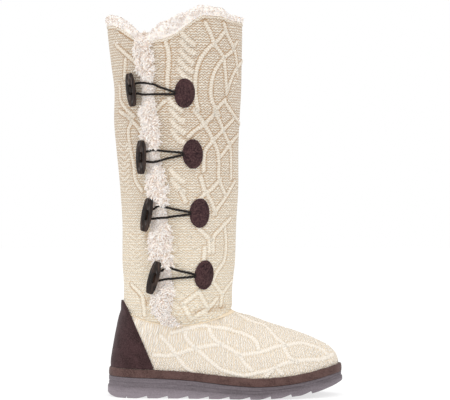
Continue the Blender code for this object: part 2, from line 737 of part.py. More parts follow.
def build_patch(name, row, surface):
    """An oval suede patch on the flap, over the ends of its cord loop."""
    middle = INSTEP_HEIGHT + SHAFT_HEIGHT * row.patch_height
    centre = math.radians(row.patch_angle)
    sides = 20

    def point(share, k, out):
        turn = 2 * math.pi * k / sides
        z = middle + PATCH_HEIGHT / 2 * share * math.sin(turn)
        angle = shift_angle(centre, z, PATCH_WIDTH / 2 * share * math.cos(turn))
        return offset_point(angle, z, lap_offset(angle) + 2 * CLEARANCE + out)

    # share: of the oval's size. out: height over the patch's underside.
    profile = ((0.5, 0.0), (1.0, 0.0), (1.0, 0.6 * PATCH_THICKNESS), (0.93, PATCH_THICKNESS), (0.5, PATCH_THICKNESS))
    points = [point(share, k, out) for share, out in profile for k in range(sides)]
    points += [point(0, 0, 0), point(0, 0, PATCH_THICKNESS)]
    faces = []
    for j in range(len(profile) - 1):
        for k in range(sides):
            after = (k + 1) % sides
            faces.append((j * sides + k, j * sides + after, (j + 1) * sides + after, (j + 1) * sides + k))
    under, over = len(points) - 2, len(points) - 1
    last = (len(profile) - 1) * sides
    for k in range(sides):
        after = (k + 1) % sides
        faces.append((under, after, k))
        faces.append((over, last + k, last + after))
    return add_object(name, mesh_from(name, points, faces), surface)


ToggleFrame = namedtuple("ToggleFrame", "centre out across up")


def toggle_frame(row):
    """Where a toggle lies: its centre, and the directions out of the boot, towards the toe and up its length."""
    z = INSTEP_HEIGHT + SHAFT_HEIGHT * row.toggle_height
    angle = math.radians(row.toggle_angle)
    out = last_normal(angle, z)
    across = (last_point(angle + 0.03, z) - last_point(angle - 0.03, z)).normalized()
    up = out.cross(across)
    tilt = math.radians(row.tilt)
    up, across = up * math.cos(tilt) + across * math.sin(tilt), across * math.cos(tilt) - up * math.sin(tilt)
    centre = last_point(angle, z) + out * TOGGLE_THICKNESS * (row.lift + 0.5)
    return ToggleFrame(centre, out, across, up)


def in_frame(frame, out, across, up):
    """A point given in a toggle's own directions."""
    return frame.centre + frame.out * out + frame.across * across + frame.up * up


def build_toggle(name, row, surface):
    """A horn toggle: a flattened barrel with two holes for the cord."""
    frame = toggle_frame(row)
    sides = 10
    # along: share of the half length. girth: share of the full width and thickness.
    profile = ((-1.0, 0.50), (-0.94, 0.62), (-0.55, 0.88), (0.0, 1.0), (0.55, 0.88), (0.94, 0.62), (1.0, 0.50))
    stations = []
    for along, girth in profile:
        station = []
        for k in range(sides):
            turn = 2 * math.pi * (k + 0.5) / sides
            out = math.cos(turn) * TOGGLE_THICKNESS / 2 * girth
            across = math.sin(turn) * TOGGLE_WIDTH / 2 * girth
            station.append(in_frame(frame, out, across, along * TOGGLE_LENGTH / 2))
        stations.append(station)
    made = add_object(name, band_mesh(name, stations, closed=False), surface)
    for number, side in enumerate((-1, 1)):
        rings = []
        for out in (-TOGGLE_THICKNESS, TOGGLE_THICKNESS):
            rings.append([])
            for k in range(8):
                turn = 2 * math.pi * k / 8
                across = math.cos(turn) * TOGGLE_HOLE_DIAMETER / 2
                up = side * TOGGLE_HOLE_SPACING / 2 + math.sin(turn) * TOGGLE_HOLE_DIAMETER / 2
                rings[-1].append(in_frame(frame, out, across, up))
        drill = add_object(f"{name}_drill_{number}", band_mesh("drill", rings, closed=False), surface)
        drill.hide_render = True
        drill.display_type = "WIRE"
        cut = made.modifiers.new(f"hole_{number}", "BOOLEAN")
        cut.operation = "DIFFERENCE"
        cut.solver = "EXACT"
        cut.object = drill
    return made


def smooth_path(points, splits):
    """Points on a smooth curve through the given ones, each stretch split into the stated number of parts."""
    padded = [points[0] * 2 - points[1], *points, points[-1] * 2 - points[-2]]
    path = []
    for a, b, c, d, parts in zip(padded, padded[1:], padded[2:], padded[3:], splits):
        for part in range(parts):
            u = part / parts
            bend = (a * 2 - b * 5 + c * 4 - d) * u**2 + (b * 3 - a - c * 3 + d) * u**3
            path.append((b * 2 + (c - a) * u + bend) / 2)
    path.append(points[-1])
    return path


def loop_strand(row, side):
    """Half of a cord loop, from its patch over the fleece and behind the toggle to the top of a hole."""
    lap = KNIT_WALL + LAP_CLEARANCE
    radius = CORD_DIAMETER / 2
    patch_z = INSTEP_HEIGHT + SHAFT_HEIGHT * row.patch_height
    toggle_z = INSTEP_HEIGHT + SHAFT_HEIGHT * row.toggle_height
    patch_angle = math.radians(row.patch_angle)
    start = shift_angle(patch_angle, patch_z, -PATCH_WIDTH / 2 - CLEARANCE * 2)
    frame = toggle_frame(row)
    edge_point = last_point(flap_edge(toggle_z), toggle_z)
    reach = (edge_point - last_point(math.radians(row.toggle_angle), toggle_z)).length
    over = lap + PLACKET_PRESSED_DEPTH + 3 * CLEARANCE + radius
    start_z = patch_z + side * (radius + CLEARANCE / 2)
    end_z = toggle_z + CORD_SPREAD * (side / 2 + row.climb)
    edge = flap_edge(toggle_z)
    half = placket_half_width(toggle_z)
    front = shift_angle(edge, toggle_z, half)
    rear = shift_angle(edge, toggle_z, max(TOGGLE_WIDTH * 0.9 - reach, -half * 0.5))
    points = [offset_point(start, start_z, lap_offset(start) + radius + 2 * CLEARANCE)]
    for share in (0.35, 0.7):
        angle = mix(start, front, share)
        z = mix(start_z, end_z, share * 0.7)
        points.append(offset_point(angle, z, mix(lap_offset(angle) + radius + 2 * CLEARANCE, over, share)))
    points.append(offset_point(front, mix(start_z, end_z, 0.78), over))
    points.append(offset_point(rear, mix(start_z, end_z, 0.95), over))
    behind = -TOGGLE_THICKNESS / 2 - radius - 1.5 * CLEARANCE
    hole = side * TOGGLE_HOLE_SPACING / 2
    arrival = CORD_SPREAD * (side * 0.44 + row.climb)
    points.append(in_frame(frame, behind, TOGGLE_WIDTH * 0.45, mix(arrival, hole, 0.2)))
    points.append(in_frame(frame, behind, TOGGLE_WIDTH * 0.20, mix(arrival, hole, 0.6)))
    points.append(in_frame(frame, behind * 0.93, radius * 0.5, hole))
    points.append(in_frame(frame, behind * 0.50, 0, hole))
    points.append(in_frame(frame, -behind * 0.50, 0, hole))
    points.append(in_frame(frame, -behind * 0.88, 0, hole * 0.98))
    points.append(in_frame(frame, -behind * 1.06, 0, hole * 0.55))
    return points


def build_loop(name, row, surface):
    """A round cord from the patch, through both holes of the toggle and back to the patch."""
    top = loop_strand(row, 1)
    bottom = loop_strand(row, -1)
    strand_splits = [1] * 4 + [2] * (len(top) - 5)
    path = smooth_path(top + bottom[::-1], strand_splits + [2] + strand_splits[::-1])
    curve = bpy.data.curves.new(name, "CURVE")
    curve.dimensions = "3D"
    curve.bevel_depth = CORD_DIAMETER / 2
    curve.bevel_resolution = 1
    curve.use_fill_caps = True
    spline = curve.splines.new("POLY")
    spline.points.add(len(path) - 1)
    for knot, point in zip(spline.points, path):
        knot.co = (*point, 1.0)
    curve.materials.append(surface)
    made = bpy.data.objects.new(name, curve)
    bpy.context.scene.collection.objects.link(made)
    made.parent = BOOT
    return made


for leftover in list(bpy.data.objects):
    bpy.data.objects.remove(leftover)

BOOT = bpy.data.objects.new("boot", None)
bpy.context.scene.collection.objects.link(BOOT)


def main():
    """Builds the boot, piece by piece, from the sole up."""
    knit = material("cream_knit", (0.80, 0.72, 0.58), 0.9)
    fleece = material("cream_fleece", (0.87, 0.82, 0.76), 0.95)
    suede = material("brown_suede", (0.085, 0.050, 0.047), 0.85)
    rubber = material("brown_rubber", (0.20, 0.165, 0.175), 0.6)
    horn = material("dark_horn", (0.020, 0.018, 0.018), 0.3)
    cord = material("black_cord", (0.015, 0.012, 0.011), 0.6)
    build_outsole(rubber)
    build_rand(suede)
    build_insole(fleece)
    build_upper(knit)
    build_counter(suede)
    build_shaft(knit)
    build_collar_fleece(fleece)
    build_placket_fleece(fleece)
    for number, row in enumerate(FASTENINGS, start=1):
        build_patch(f"patch_{number}", row, suede)
        build_toggle(f"toggle_{number}", row, horn)
        build_loop(f"cord_loop_{number}", row, cord)


main()
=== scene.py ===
"""Looks of a tall knitted boot: cable knit, fleece trim, suede, horn toggles, cords and a ripple sole.

The boot's sizes are the CAD model's. +X runs from heel to toe, +Y to the inner side of the foot and +Z up,
in metres. Angles round a level section start at the toe side and turn towards +Y.
"""

import logging
import math
from collections.abc import Callable
from dataclasses import dataclass
from enum import Enum

import bmesh
import bpy
import numpy as np
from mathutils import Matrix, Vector
from mathutils.kdtree import KDTree

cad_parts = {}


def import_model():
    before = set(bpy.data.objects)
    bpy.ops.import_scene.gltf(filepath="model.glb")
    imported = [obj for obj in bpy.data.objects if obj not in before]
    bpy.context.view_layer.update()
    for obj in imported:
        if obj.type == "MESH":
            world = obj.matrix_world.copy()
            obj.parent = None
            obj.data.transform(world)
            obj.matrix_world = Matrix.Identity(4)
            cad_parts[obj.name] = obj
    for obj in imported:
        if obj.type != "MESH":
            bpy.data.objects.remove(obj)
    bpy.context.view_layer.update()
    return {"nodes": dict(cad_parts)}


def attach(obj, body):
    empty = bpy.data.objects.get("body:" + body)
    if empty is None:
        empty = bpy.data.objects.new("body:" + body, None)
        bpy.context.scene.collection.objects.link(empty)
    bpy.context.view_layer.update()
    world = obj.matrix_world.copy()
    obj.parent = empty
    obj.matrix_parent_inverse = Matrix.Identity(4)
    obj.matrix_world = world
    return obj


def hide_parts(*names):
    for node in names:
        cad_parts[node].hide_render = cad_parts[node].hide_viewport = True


LOG = logging.getLogger("boot")
Route = tuple[tuple[float, float], ...]
Socket = bpy.types.NodeSocket
Term = float | tuple[float, ...] | Socket
Numbers = float | np.ndarray
MM = 0.001


def linear(code: str) -> tuple[float, float, float, float]:
    """Turn an sRGB hex colour to linear light.

    Args:
        code: six hex digits, with or without a hash sign.

    Returns:
        Red, green, blue and an alpha of one.
    """
    digits = code.lstrip("#")
    shares = [int(digits[i : i + 2], 16) / 255 for i in (0, 2, 4)]
    levels = [s / 12.92 if s <= 0.04045 else ((s + 0.055) / 1.055) ** 2.4 for s in shares]
    return (*levels, 1.0)


def mix(start: Numbers, end: Numbers, share: Numbers) -> Numbers:
    """Give the value a share of the way from start to end."""
    return start + (end - start) * share


def smooth_step(start: float, end: float, value: np.ndarray) -> np.ndarray:
    """Give 0 before start and 1 after end, with an easy passage between them."""
    share = np.clip((value - start) / (end - start), 0, 1)
    return share * share * (3 - 2 * share)


def unit(vectors: np.ndarray) -> np.ndarray:
    """Scale vectors to a length of one."""
    return vectors / np.maximum(np.linalg.norm(vectors, axis=-1, keepdims=True), 1e-12)


def around(count: int) -> np.ndarray:
    """Give this many even angles round a circle."""
    return 2 * math.pi * np.arange(count) / count


def ring(first: np.ndarray, second: np.ndarray, turn: np.ndarray) -> np.ndarray:
    """Give the directions round a strand, from two directions across it at each of its points."""
    return first[..., None, :] * np.cos(turn)[:, None] + second[..., None, :] * np.sin(turn)[:, None]


def halve(low: np.ndarray, high: np.ndarray, holds: Callable[[np.ndarray], np.ndarray]) -> np.ndarray:
    """Find where a test stops holding.

    Args:
        low: values at which it holds.
        high: values at which it doesn't.
        holds: the test.

    Returns:
        The values between them where it changes.
    """
    for _ in range(24):
        middle = (low + high) / 2
        held = holds(middle)
        low, high = np.where(held, middle, low), np.where(held, high, middle)
    return (low + high) / 2


@dataclass(frozen=True)
class Curve:
    """A smooth run of values through given ones, with no overshoot between them."""

    places: tuple[float, ...]
    values: tuple[float, ...]

    def __call__(self, place: np.ndarray) -> np.ndarray:
        """Read the curve.

        Args:
            place: where to read it; places beyond its ends read the end values.

        Returns:
            The values there.
        """
        xs = np.asarray(self.places)
        ys = np.asarray(self.values)
        steps = np.diff(xs)
        grades = np.diff(ys) / steps
        product = grades[:-1] * grades[1:]
        total = np.where(product > 0, grades[:-1] + grades[1:], 1.0)
        inner = np.where(product > 0, 2 * product / total, 0.0)
        slopes = np.concatenate((grades[:1], inner, grades[-1:]))
        place = np.clip(place, xs[0], xs[-1])
        i = np.clip(np.searchsorted(xs, place, side="right") - 1, 0, len(steps) - 1)
        u = (place - xs[i]) / steps[i]
        rise = steps[i] * (slopes[i] * u * (1 - u) ** 2 - slopes[i + 1] * u**2 * (1 - u))
        return ys[i] + (ys[i + 1] - ys[i]) * u * u * (3 - 2 * u) + rise


def curves(names: str, rows: tuple[tuple[float, ...], ...]) -> dict[str, Curve]:
    """Turn a table's columns to curves over its first column.

    Args:
        names: the other columns' names, in order.
        rows: the table.

    Returns:
        A curve for each name.
    """
    columns = list(zip(*rows))
    return {name: Curve(columns[0], column) for name, column in zip(names.split(), columns[1:])}


# Levels of the foot: share of the instep height, then shares of the foot length, then the width's blend
FOOT = curves(
    "back front heel_round toe_round ankle",
    (
        (0.10, 0.000, 0.996, 0.135, 0.230, 0.00),
        (0.30, 0.000, 0.998, 0.135, 0.230, 0.00),
        (0.39, 0.000, 1.000, 0.135, 0.240, 0.00),
        (0.48, 0.004, 0.991, 0.137, 0.310, 0.04),
        (0.57, 0.010, 0.962, 0.142, 0.400, 0.16),
        (0.67, 0.017, 0.891, 0.152, 0.465, 0.34),
        (0.76, 0.023, 0.805, 0.168, 0.490, 0.54),
        (0.86, 0.030, 0.685, 0.195, 0.480, 0.76),
        (0.95, 0.039, 0.592, 0.225, 0.370, 0.94),
        (1.00, 0.046, 0.529, 0.242, 0.242, 1.00),
    ),
)
# Levels of the shaft, by share of its height: how far it has spread, and its middle's shift
SHAFT = curves(
    "spread lean",
    (
        (0.00, 0.00, 0.000),
        (0.07, -0.04, 0.004),
        (0.18, 0.14, 0.010),
        (0.30, 0.18, 0.012),
        (0.41, 0.31, 0.011),
        (0.58, 0.49, -0.002),
        (0.66, 0.60, -0.006),
        (0.77, 0.67, 0.001),
        (0.86, 0.81, -0.008),
        (1.00, 1.00, -0.023),
        (1.12, 1.08, -0.031),
    ),
)
# Plan of the foot, by share of its length: the half width's fullness and the midline's swing
PLAN = curves(
    "fullness swing",
    (
        (0.00, 0.00, 0.000),
        (0.15, 0.00, 0.000),
        (0.30, 0.02, -0.020),
        (0.45, 0.28, -0.050),
        (0.60, 0.82, -0.048),
        (0.69, 1.00, -0.030),
        (0.79, 0.94, 0.004),
        (0.90, 0.66, 0.045),
        (1.00, 0.38, 0.080),
    ),
)
# Side view of the sole, by share of the foot length
SOLE = curves(
    "heel spring rocker tier",
    (
        (0.00, 1.00, 0.00, 0.00, 0.55),
        (0.20, 0.84, 0.00, 0.00, 0.53),
        (0.33, 0.65, 0.00, 0.00, 0.49),
        (0.54, 0.12, 0.00, 0.00, 0.39),
        (0.63, 0.00, 0.00, 0.00, 0.38),
        (0.70, 0.00, 0.03, 0.05, 0.42),
        (0.77, 0.00, 0.12, 0.14, 0.47),
        (0.88, 0.00, 0.37, 0.34, 0.55),
        (0.96, 0.00, 0.62, 0.66, 0.54),
        (1.02, 0.00, 0.80, 1.00, 0.52),
    ),
)
# The knit's top edge and the fleece over it, by angle in degrees
RIM = curves(
    "edge rise skirt",
    (
        (-118, 0.922, 0.95, 0.10),
        (-108, 0.931, 1.40, 0.16),
        (-98, 0.939, 1.75, 0.18),
        (-88, 0.957, 1.65, 0.30),
        (-78, 0.988, 1.30, 0.45),
        (-64, 1.019, 1.00, 0.90),
        (-48, 1.018, 0.80, 1.00),
        (-30, 1.006, 0.68, 1.00),
        (0, 1.006, 0.55, 1.00),
        (45, 0.978, 0.80, 1.00),
        (90, 0.952, 0.90, 1.00),
        (130, 0.950, 0.95, 1.00),
        (160, 0.984, 1.00, 1.00),
        (180, 0.997, 1.00, 1.00),
        (208, 0.991, 0.95, 1.00),
        (222, 0.973, 0.95, 1.00),
        (233, 0.946, 0.95, 0.60),
        (240, 0.910, 1.20, 0.12),
        (250, 0.885, 0.70, 0.25),
        (286, 0.880, 0.50, 0.25),
    ),
)


@dataclass(frozen=True)
class Last:
    """The form that every piece of the boot is made on, measured outside the knit."""

    foot_length: float = 252 * MM
    heel_setback: float = 25 * MM
    ball_width: float = 85 * MM
    heel_width: float = 61 * MM
    instep_height: float = 95 * MM
    shaft_height: float = 317 * MM
    top_length: float = 151 * MM
    top_width: float = 106 * MM
    ankle_width: float = 88 * MM
    seam_drop: float = 15 * MM
    heel_thickness: float = 22.8 * MM
    ball_thickness: float = 13.3 * MM
    toe_spring: float = 17 * MM

    def section(self, z: np.ndarray) -> tuple[np.ndarray, ...]:
        """Give the level section at each height.

        Args:
            z: heights.

        Returns:
            Back, front, heel round, toe round, the width's blend and the half width at the ankle or above.
        """
        height = np.asarray(z) / self.instep_height
        back = FOOT["back"](height) * self.foot_length - self.heel_setback
        front = FOOT["front"](height) * self.foot_length - self.heel_setback
        share = (np.asarray(z) - self.instep_height) / self.shaft_height
        spread = SHAFT["spread"](share)
        reach = mix(front - back, self.top_length, spread) / 2
        middle = (front + back) / 2 + SHAFT["lean"](share) * self.top_length
        above = np.asarray(z) > self.instep_height
        width = mix(self.ankle_width, self.top_width, np.maximum(spread, 0))
        return (
            np.where(above, middle - reach, back),
            np.where(above, middle + reach, front),
            np.where(above, reach, FOOT["heel_round"](height) * self.foot_length),
            np.where(above, reach, FOOT["toe_round"](height) * self.foot_length),
            np.where(above, 1.0, FOOT["ankle"](height)),
            np.where(above, width, self.ankle_width) / 2,
        )

    def plan(self, section: tuple[np.ndarray, ...], angle: np.ndarray, margin: float = 0.0) -> np.ndarray:
        """Give points of a level section.

        Args:
            section: what section() gives.
            angle: angles round it, in radians.
            margin: how far outside the section the points lie.

        Returns:
            Forward and sideways places, in the last axis.
        """
        back, front, heel_round, toe_round, ankle, half_width = section
        back, front = back - margin, front + margin
        x = back + (front - back) * (1 + np.cos(angle)) / 2
        along = (x + self.heel_setback) / self.foot_length
        foot_half = mix(self.heel_width, self.ball_width, PLAN["fullness"](along)) / 2
        half = mix(foot_half, half_width, ankle) + margin
        for distance, length in ((x - back, heel_round + margin), (front - x, toe_round + margin)):
            half = half * np.sqrt(1 - (1 - np.clip(distance / length, 0, 1)) ** 2)
        swing = PLAN["swing"](along) * self.ball_width * (1 - ankle)
        return np.stack(np.broadcast_arrays(x, swing + np.copysign(half, np.sin(angle))), axis=-1)

    def point(self, angle: np.ndarray, z: np.ndarray) -> np.ndarray:
        """Give points of the outer surface at angles and heights."""
        angle, z = np.broadcast_arrays(np.asarray(angle, float), np.asarray(z, float))
        return np.concatenate((self.plan(self.section(z), angle), z[..., None]), axis=-1)

    def normal(self, angle: np.ndarray, z: np.ndarray) -> np.ndarray:
        """Give the outer surface's outward normals at angles and heights.

        Args:
            angle: angles round the last.
            z: heights.

        Returns:
            The directions, each of a length of one.
        """
        turn, climb = 0.03, 0.8 * MM
        across = self.point(angle + turn, z) - self.point(angle - turn, z)
        upward = self.point(angle, z + climb) - self.point(angle, z - climb)
        return unit(np.cross(across, upward))

    def offset(self, angle: np.ndarray, z: np.ndarray, out: np.ndarray) -> np.ndarray:
        """Give points that lie this far out from the outer surface."""
        return self.point(angle, z) + self.normal(angle, z) * np.asarray(out)[..., None]

    def sole_top(self, x: np.ndarray) -> np.ndarray:
        """Give the height of the outsole's upper face.

        Args:
            x: places forward of the heel's middle.

        Returns:
            The heights.
        """
        along = (x + self.heel_setback) / self.foot_length
        lift = (self.heel_thickness - self.ball_thickness) * SOLE["heel"](along)
        return self.ball_thickness + lift + self.toe_spring * SOLE["spring"](along)

    def seam(self, angle: np.ndarray) -> np.ndarray:
        """Give the height of the seam between foot and shaft at each angle.

        Args:
            angle: angles round the last.

        Returns:
            The heights.
        """
        back, front = (float(value) for value in self.section(self.instep_height)[:2])

        def below(z: np.ndarray) -> np.ndarray:
            """Tell which heights are below the seam, which dips between the heel and the instep."""
            share = (self.point(angle, z)[..., 0] - (front + back) / 2) / ((front - back) / 2)
            return z < self.instep_height - self.seam_drop * (1 - np.minimum(share * share, 1))

        low = np.full(np.shape(angle), self.instep_height - 2 * self.seam_drop)
        return halve(low, np.full(low.shape, self.instep_height), below)

    def feather(self, angle: np.ndarray, clearance: float) -> np.ndarray:
        """Give the height at which each column stands on the outsole.

        Args:
            angle: angles round the last.
            clearance: the gap between the column and the sole.

        Returns:
            The heights.
        """
        z = np.full(np.shape(angle), self.ball_thickness)
        for _ in range(6):
            z = self.sole_top(self.point(angle, z)[..., 0]) + clearance
        return z

    def angle_of(self, x: np.ndarray, z: np.ndarray, side: int) -> np.ndarray:
        """Give the angle at which the side view's point lies on the outer (-1) or inner (1) side."""
        back, front = self.section(z)[:2]
        return side * np.arccos(np.clip(2 * (x - back) / (front - back) - 1, -1, 1))

    def level(self, share: Numbers) -> Numbers:
        """Give the height above the floor of a share of the shaft's height."""
        return self.instep_height + self.shaft_height * share

    def even_angles(self, z: float, count: int, extra: float = 0.0) -> np.ndarray:
        """Give angles at even distances round a level.

        Args:
            z: the level's height.
            count: how many angles.
            extra: a length added to each small turn, which draws more of them to the toe and heel.

        Returns:
            The angles.
        """
        turns = np.linspace(0, 2 * math.pi, 2001)
        spans = np.linalg.norm(np.diff(self.point(turns, z), axis=0), axis=-1)
        places = np.concatenate(([0], np.cumsum(spans + extra)))
        return np.interp(np.arange(count) / count * places[-1], places, turns)

    def shift(self, angle: np.ndarray, z: np.ndarray, distance: np.ndarray) -> np.ndarray:
        """Give the angle this far along the surface from another, at the same height.

        Args:
            angle: angles round the last.
            z: heights.
            distance: how far to go, towards greater angles.

        Returns:
            The new angles.
        """
        turn = 0.02
        length = np.linalg.norm(self.point(angle + turn, z) - self.point(angle - turn, z), axis=-1)
        return angle + distance * 2 * turn / length


@dataclass(frozen=True)
class Wrap:
    """How the knitted shaft wraps round the leg: its walls, clearances, two free edges and fleece strip."""

    last: Last = Last()
    wall: float = 3 * MM
    clearance: float = 0.3 * MM
    lap: float = 3.6 * MM
    seam_pinch: float = 1.3 * MM
    seam_roll: float = 7 * MM
    hidden_edge: float = math.radians(285)
    strip_low: float = 11.5 * MM
    strip_top: float = 7.5 * MM
    pressed: float = 1.3 * MM

    def share(self, z: np.ndarray) -> np.ndarray:
        """Give the share of the shaft's height at a height."""
        return (z - self.last.instep_height) / self.last.shaft_height

    def flap_edge(self, z: np.ndarray) -> np.ndarray:
        """Give the angle of the flap's free edge."""
        return np.radians(mix(-104.0, -118.0, np.clip(self.share(z) / 0.9, 0, 1)))

    def lap_offset(self, angle: np.ndarray) -> np.ndarray:
        """Give how far out the flap lies, over the edge that it covers."""
        return self.lap * smooth_step(math.radians(35), math.radians(72), -angle)

    def collar(self, angle: np.ndarray) -> np.ndarray:
        """Give the height of the knit's top edge."""
        return self.last.level(RIM["edge"](np.degrees(angle)))

    def strip_half(self, z: np.ndarray) -> np.ndarray:
        """Give half the width of the fleece strip down the flap's free edge."""
        return mix(self.strip_low, self.strip_top, np.clip(1.5 * self.share(z), 0, 1))

    def roll(self, distance: np.ndarray) -> np.ndarray:
        """Give how far the knit is drawn in near the ankle seam."""
        return -self.seam_pinch * (1 - smooth_step(0, self.seam_roll, distance))

    @property
    def top(self) -> float:
        """Height of the shaft's top level."""
        return self.last.level(1)


def smooth_path(points: np.ndarray, splits: list[int]) -> np.ndarray:
    """Lay a smooth curve through points.

    Args:
        points: the points, in rows.
        splits: parts that each stretch is split into.

    Returns:
        The points of the curve.
    """
    padded = [points[0] * 2 - points[1], *points, points[-1] * 2 - points[-2]]
    path = []
    for a, b, c, d, parts in zip(padded, padded[1:], padded[2:], padded[3:], splits):
        u = (np.arange(parts) / parts)[:, None]
        bend = (a * 2 - b * 5 + c * 4 - d) * u**2 + (b * 3 - a - c * 3 + d) * u**3
        path.append((b * 2 + (c - a) * u + bend) / 2)
    return np.concatenate((*path, points[-1:]))


class Side(Enum):
    """Which side of the boot a cable lies on."""

    OUTER = (-1,)
    INNER = (1,)
    BOTH = (-1, 1)


# The knit's raised cables in the side view: mm forward of the heel's middle and up from the floor
SHAFT_CABLES = (
    ((78, 410), (84, 398), (89, 386), (98, 374), (100, 362), (101, 349), (102, 335)),
    ((100, 402), (91, 391), (81, 382), (73, 371), (69, 360), (67, 347), (67, 331), (70, 315)),
    ((99, 410), (103, 398), (110, 384), (113, 370), (114, 355)),
    ((107, 380), (99, 373), (93, 366), (87, 355), (84, 342), (84, 330), (88, 319), (93, 310)),
    ((120, 372), (111, 359), (106, 347), (103, 337)),
    ((113, 391), (109, 383)),
    ((100, 327), (91, 317), (84, 306)),
    ((100, 325), (109, 312), (117, 302)),
    ((66, 315), (76, 301), (84, 287), (91, 272), (93, 257), (93, 242), (100, 224)),
    ((88, 312), (77, 300), (67, 293), (60, 286)),
    ((88, 315), (95, 301), (100, 289), (106, 275), (107, 258), (107, 242)),
    ((109, 306), (99, 295), (88, 284), (78, 272), (76, 262), (76, 250)),
    ((114, 289), (103, 275), (95, 265)),
    ((73, 242), (77, 228), (84, 216), (89, 203)),
    ((95, 240), (84, 229), (77, 224), (70, 216)),
    ((111, 238), (102, 222), (93, 210), (87, 202)),
    ((71, 186), (81, 176), (85, 173)),
    ((106, 197), (96, 187), (88, 179), (86, 173), (86, 161)),
    ((82, 174), (82, 161)),
    ((77, 165), (76, 151), (76, 139)),
    ((100, 186), (101, 169), (99, 151), (91, 139), (86, 128)),
    ((71, 117), (81, 98)),
    ((81, 98), (63, 88)),
    ((63, 88), (54, 104)),
    ((54, 104), (71, 117)),
    ((88, 126), (98, 113)),
    ((109, 128), (98, 114), (96, 102)),
    ((91, 109), (81, 98)),
    ((-14, 404), (-3, 396), (8, 391)),
    ((-20, 388), (-7, 376), (5, 366), (15, 362)),
    ((-9, 371), (-10, 352)),
    ((-16, 344), (-14, 325), (0, 309)),
    ((-16, 315), (-3, 305), (-6, 293), (-4, 276), (0, 257), (2, 240), (9, 228)),
    ((-9, 311), (4, 298), (9, 290)),
    ((-3, 124), (8, 113), (11, 102), (12, 92)),
)
# Ribs beside the fleece, which only the outer side has
OUTER_CABLES = (
    ((35, 392), (39, 378), (39, 362), (38, 349), (38, 336)),
    ((35, 325), (23, 312)),
    ((51, 231), (57, 216)),
)
# Upper ends of the rope's lobes, which run down towards the toe between the fleece and the lattice
ROPE_LOBES = (
    (53, 399), (53, 389), (52, 379), (51, 369), (50, 359), (40, 327), (42, 315), (43, 303), (44, 291),
    (42, 250), (43, 239), (33, 176), (34, 164), (35, 152), (40, 124), (36, 112),
)
# Soft creases: beside the flap's covered edge, over the ankle and at the front of the ankle
SHAFT_CREASES = (
    ((15, 184), (18, 167), (21, 152)),
    ((-3, 123), (5, 116), (14, 105)),
    ((17, 109), (24, 103), (31, 111)),
    ((68, 95), (84, 97), (100, 99)),
)
FOOT_CREASES = (
    ((96, 88), (88, 81), (74, 76)),
    ((122, 85), (116, 78), (108, 73)),
)
# Cables of the foot, where the knit runs along it
FOOT_CABLES = (
    ((112, 93), (129, 84), (144, 79), (154, 69), (159, 64), (167, 58)),
    ((42, 72), (56, 76), (74, 80), (86, 79), (101, 77), (121, 71), (133, 64), (137, 55)),
    ((56, 76), (58, 66), (66, 57), (74, 50), (83, 42), (96, 32), (108, 28), (121, 25)),
    ((83, 77), (86, 69), (94, 61), (105, 55), (115, 49), (121, 40), (129, 32)),
    ((23, 47), (42, 47), (61, 53), (77, 57), (96, 60)),
    ((115, 48), (130, 50), (144, 53), (156, 57), (167, 58), (183, 60), (195, 57), (206, 53), (214, 46)),
    ((30, 68), (39, 58), (47, 47), (56, 35), (64, 29)),
    ((165, 55), (170, 46), (178, 40)),
    ((145, 25), (156, 35), (170, 40), (187, 42), (206, 42), (220, 46)),
    ((121, 25), (136, 29), (147, 31), (156, 35)),
    ((156, 35), (162, 28)),
)


def zigzags() -> tuple[Route, ...]:
    """Give the short strokes of the two braided columns on the back panel, in mm.

    Returns:
        The strokes.
    """
    strokes = []
    for low, high, start, end in ((228, 277, -16, -5), (139, 186, -4, 11)):
        middle = (start + end) / 2
        for z in range(low, high, 6):
            strokes.append(((start, z + 4), (middle - 1, z)))
            strokes.append(((middle + 1, z), (end, z + 4)))
    return tuple(strokes)


def rope() -> tuple[Route, ...]:
    """Give the rope column's lobes, in mm."""
    return tuple(((x, z), (x + 5, z - 7), (x + 12, z - 12)) for x, z in ROPE_LOBES)


def inner_waves() -> tuple[Route, ...]:
    """Give the inner side's crossing cables, where the outer side has its flap's edge and fleece, in mm.

    Returns:
        The cables.
    """
    waves = []
    for middle, sign in ((24, 1), (24, -1), (46, 1)):
        steps = [(middle + sign * 9 * math.cos((z - 90) / 11.5), z) for z in range(90, 396, 9)]
        waves.append(tuple(steps))
    return tuple(waves)


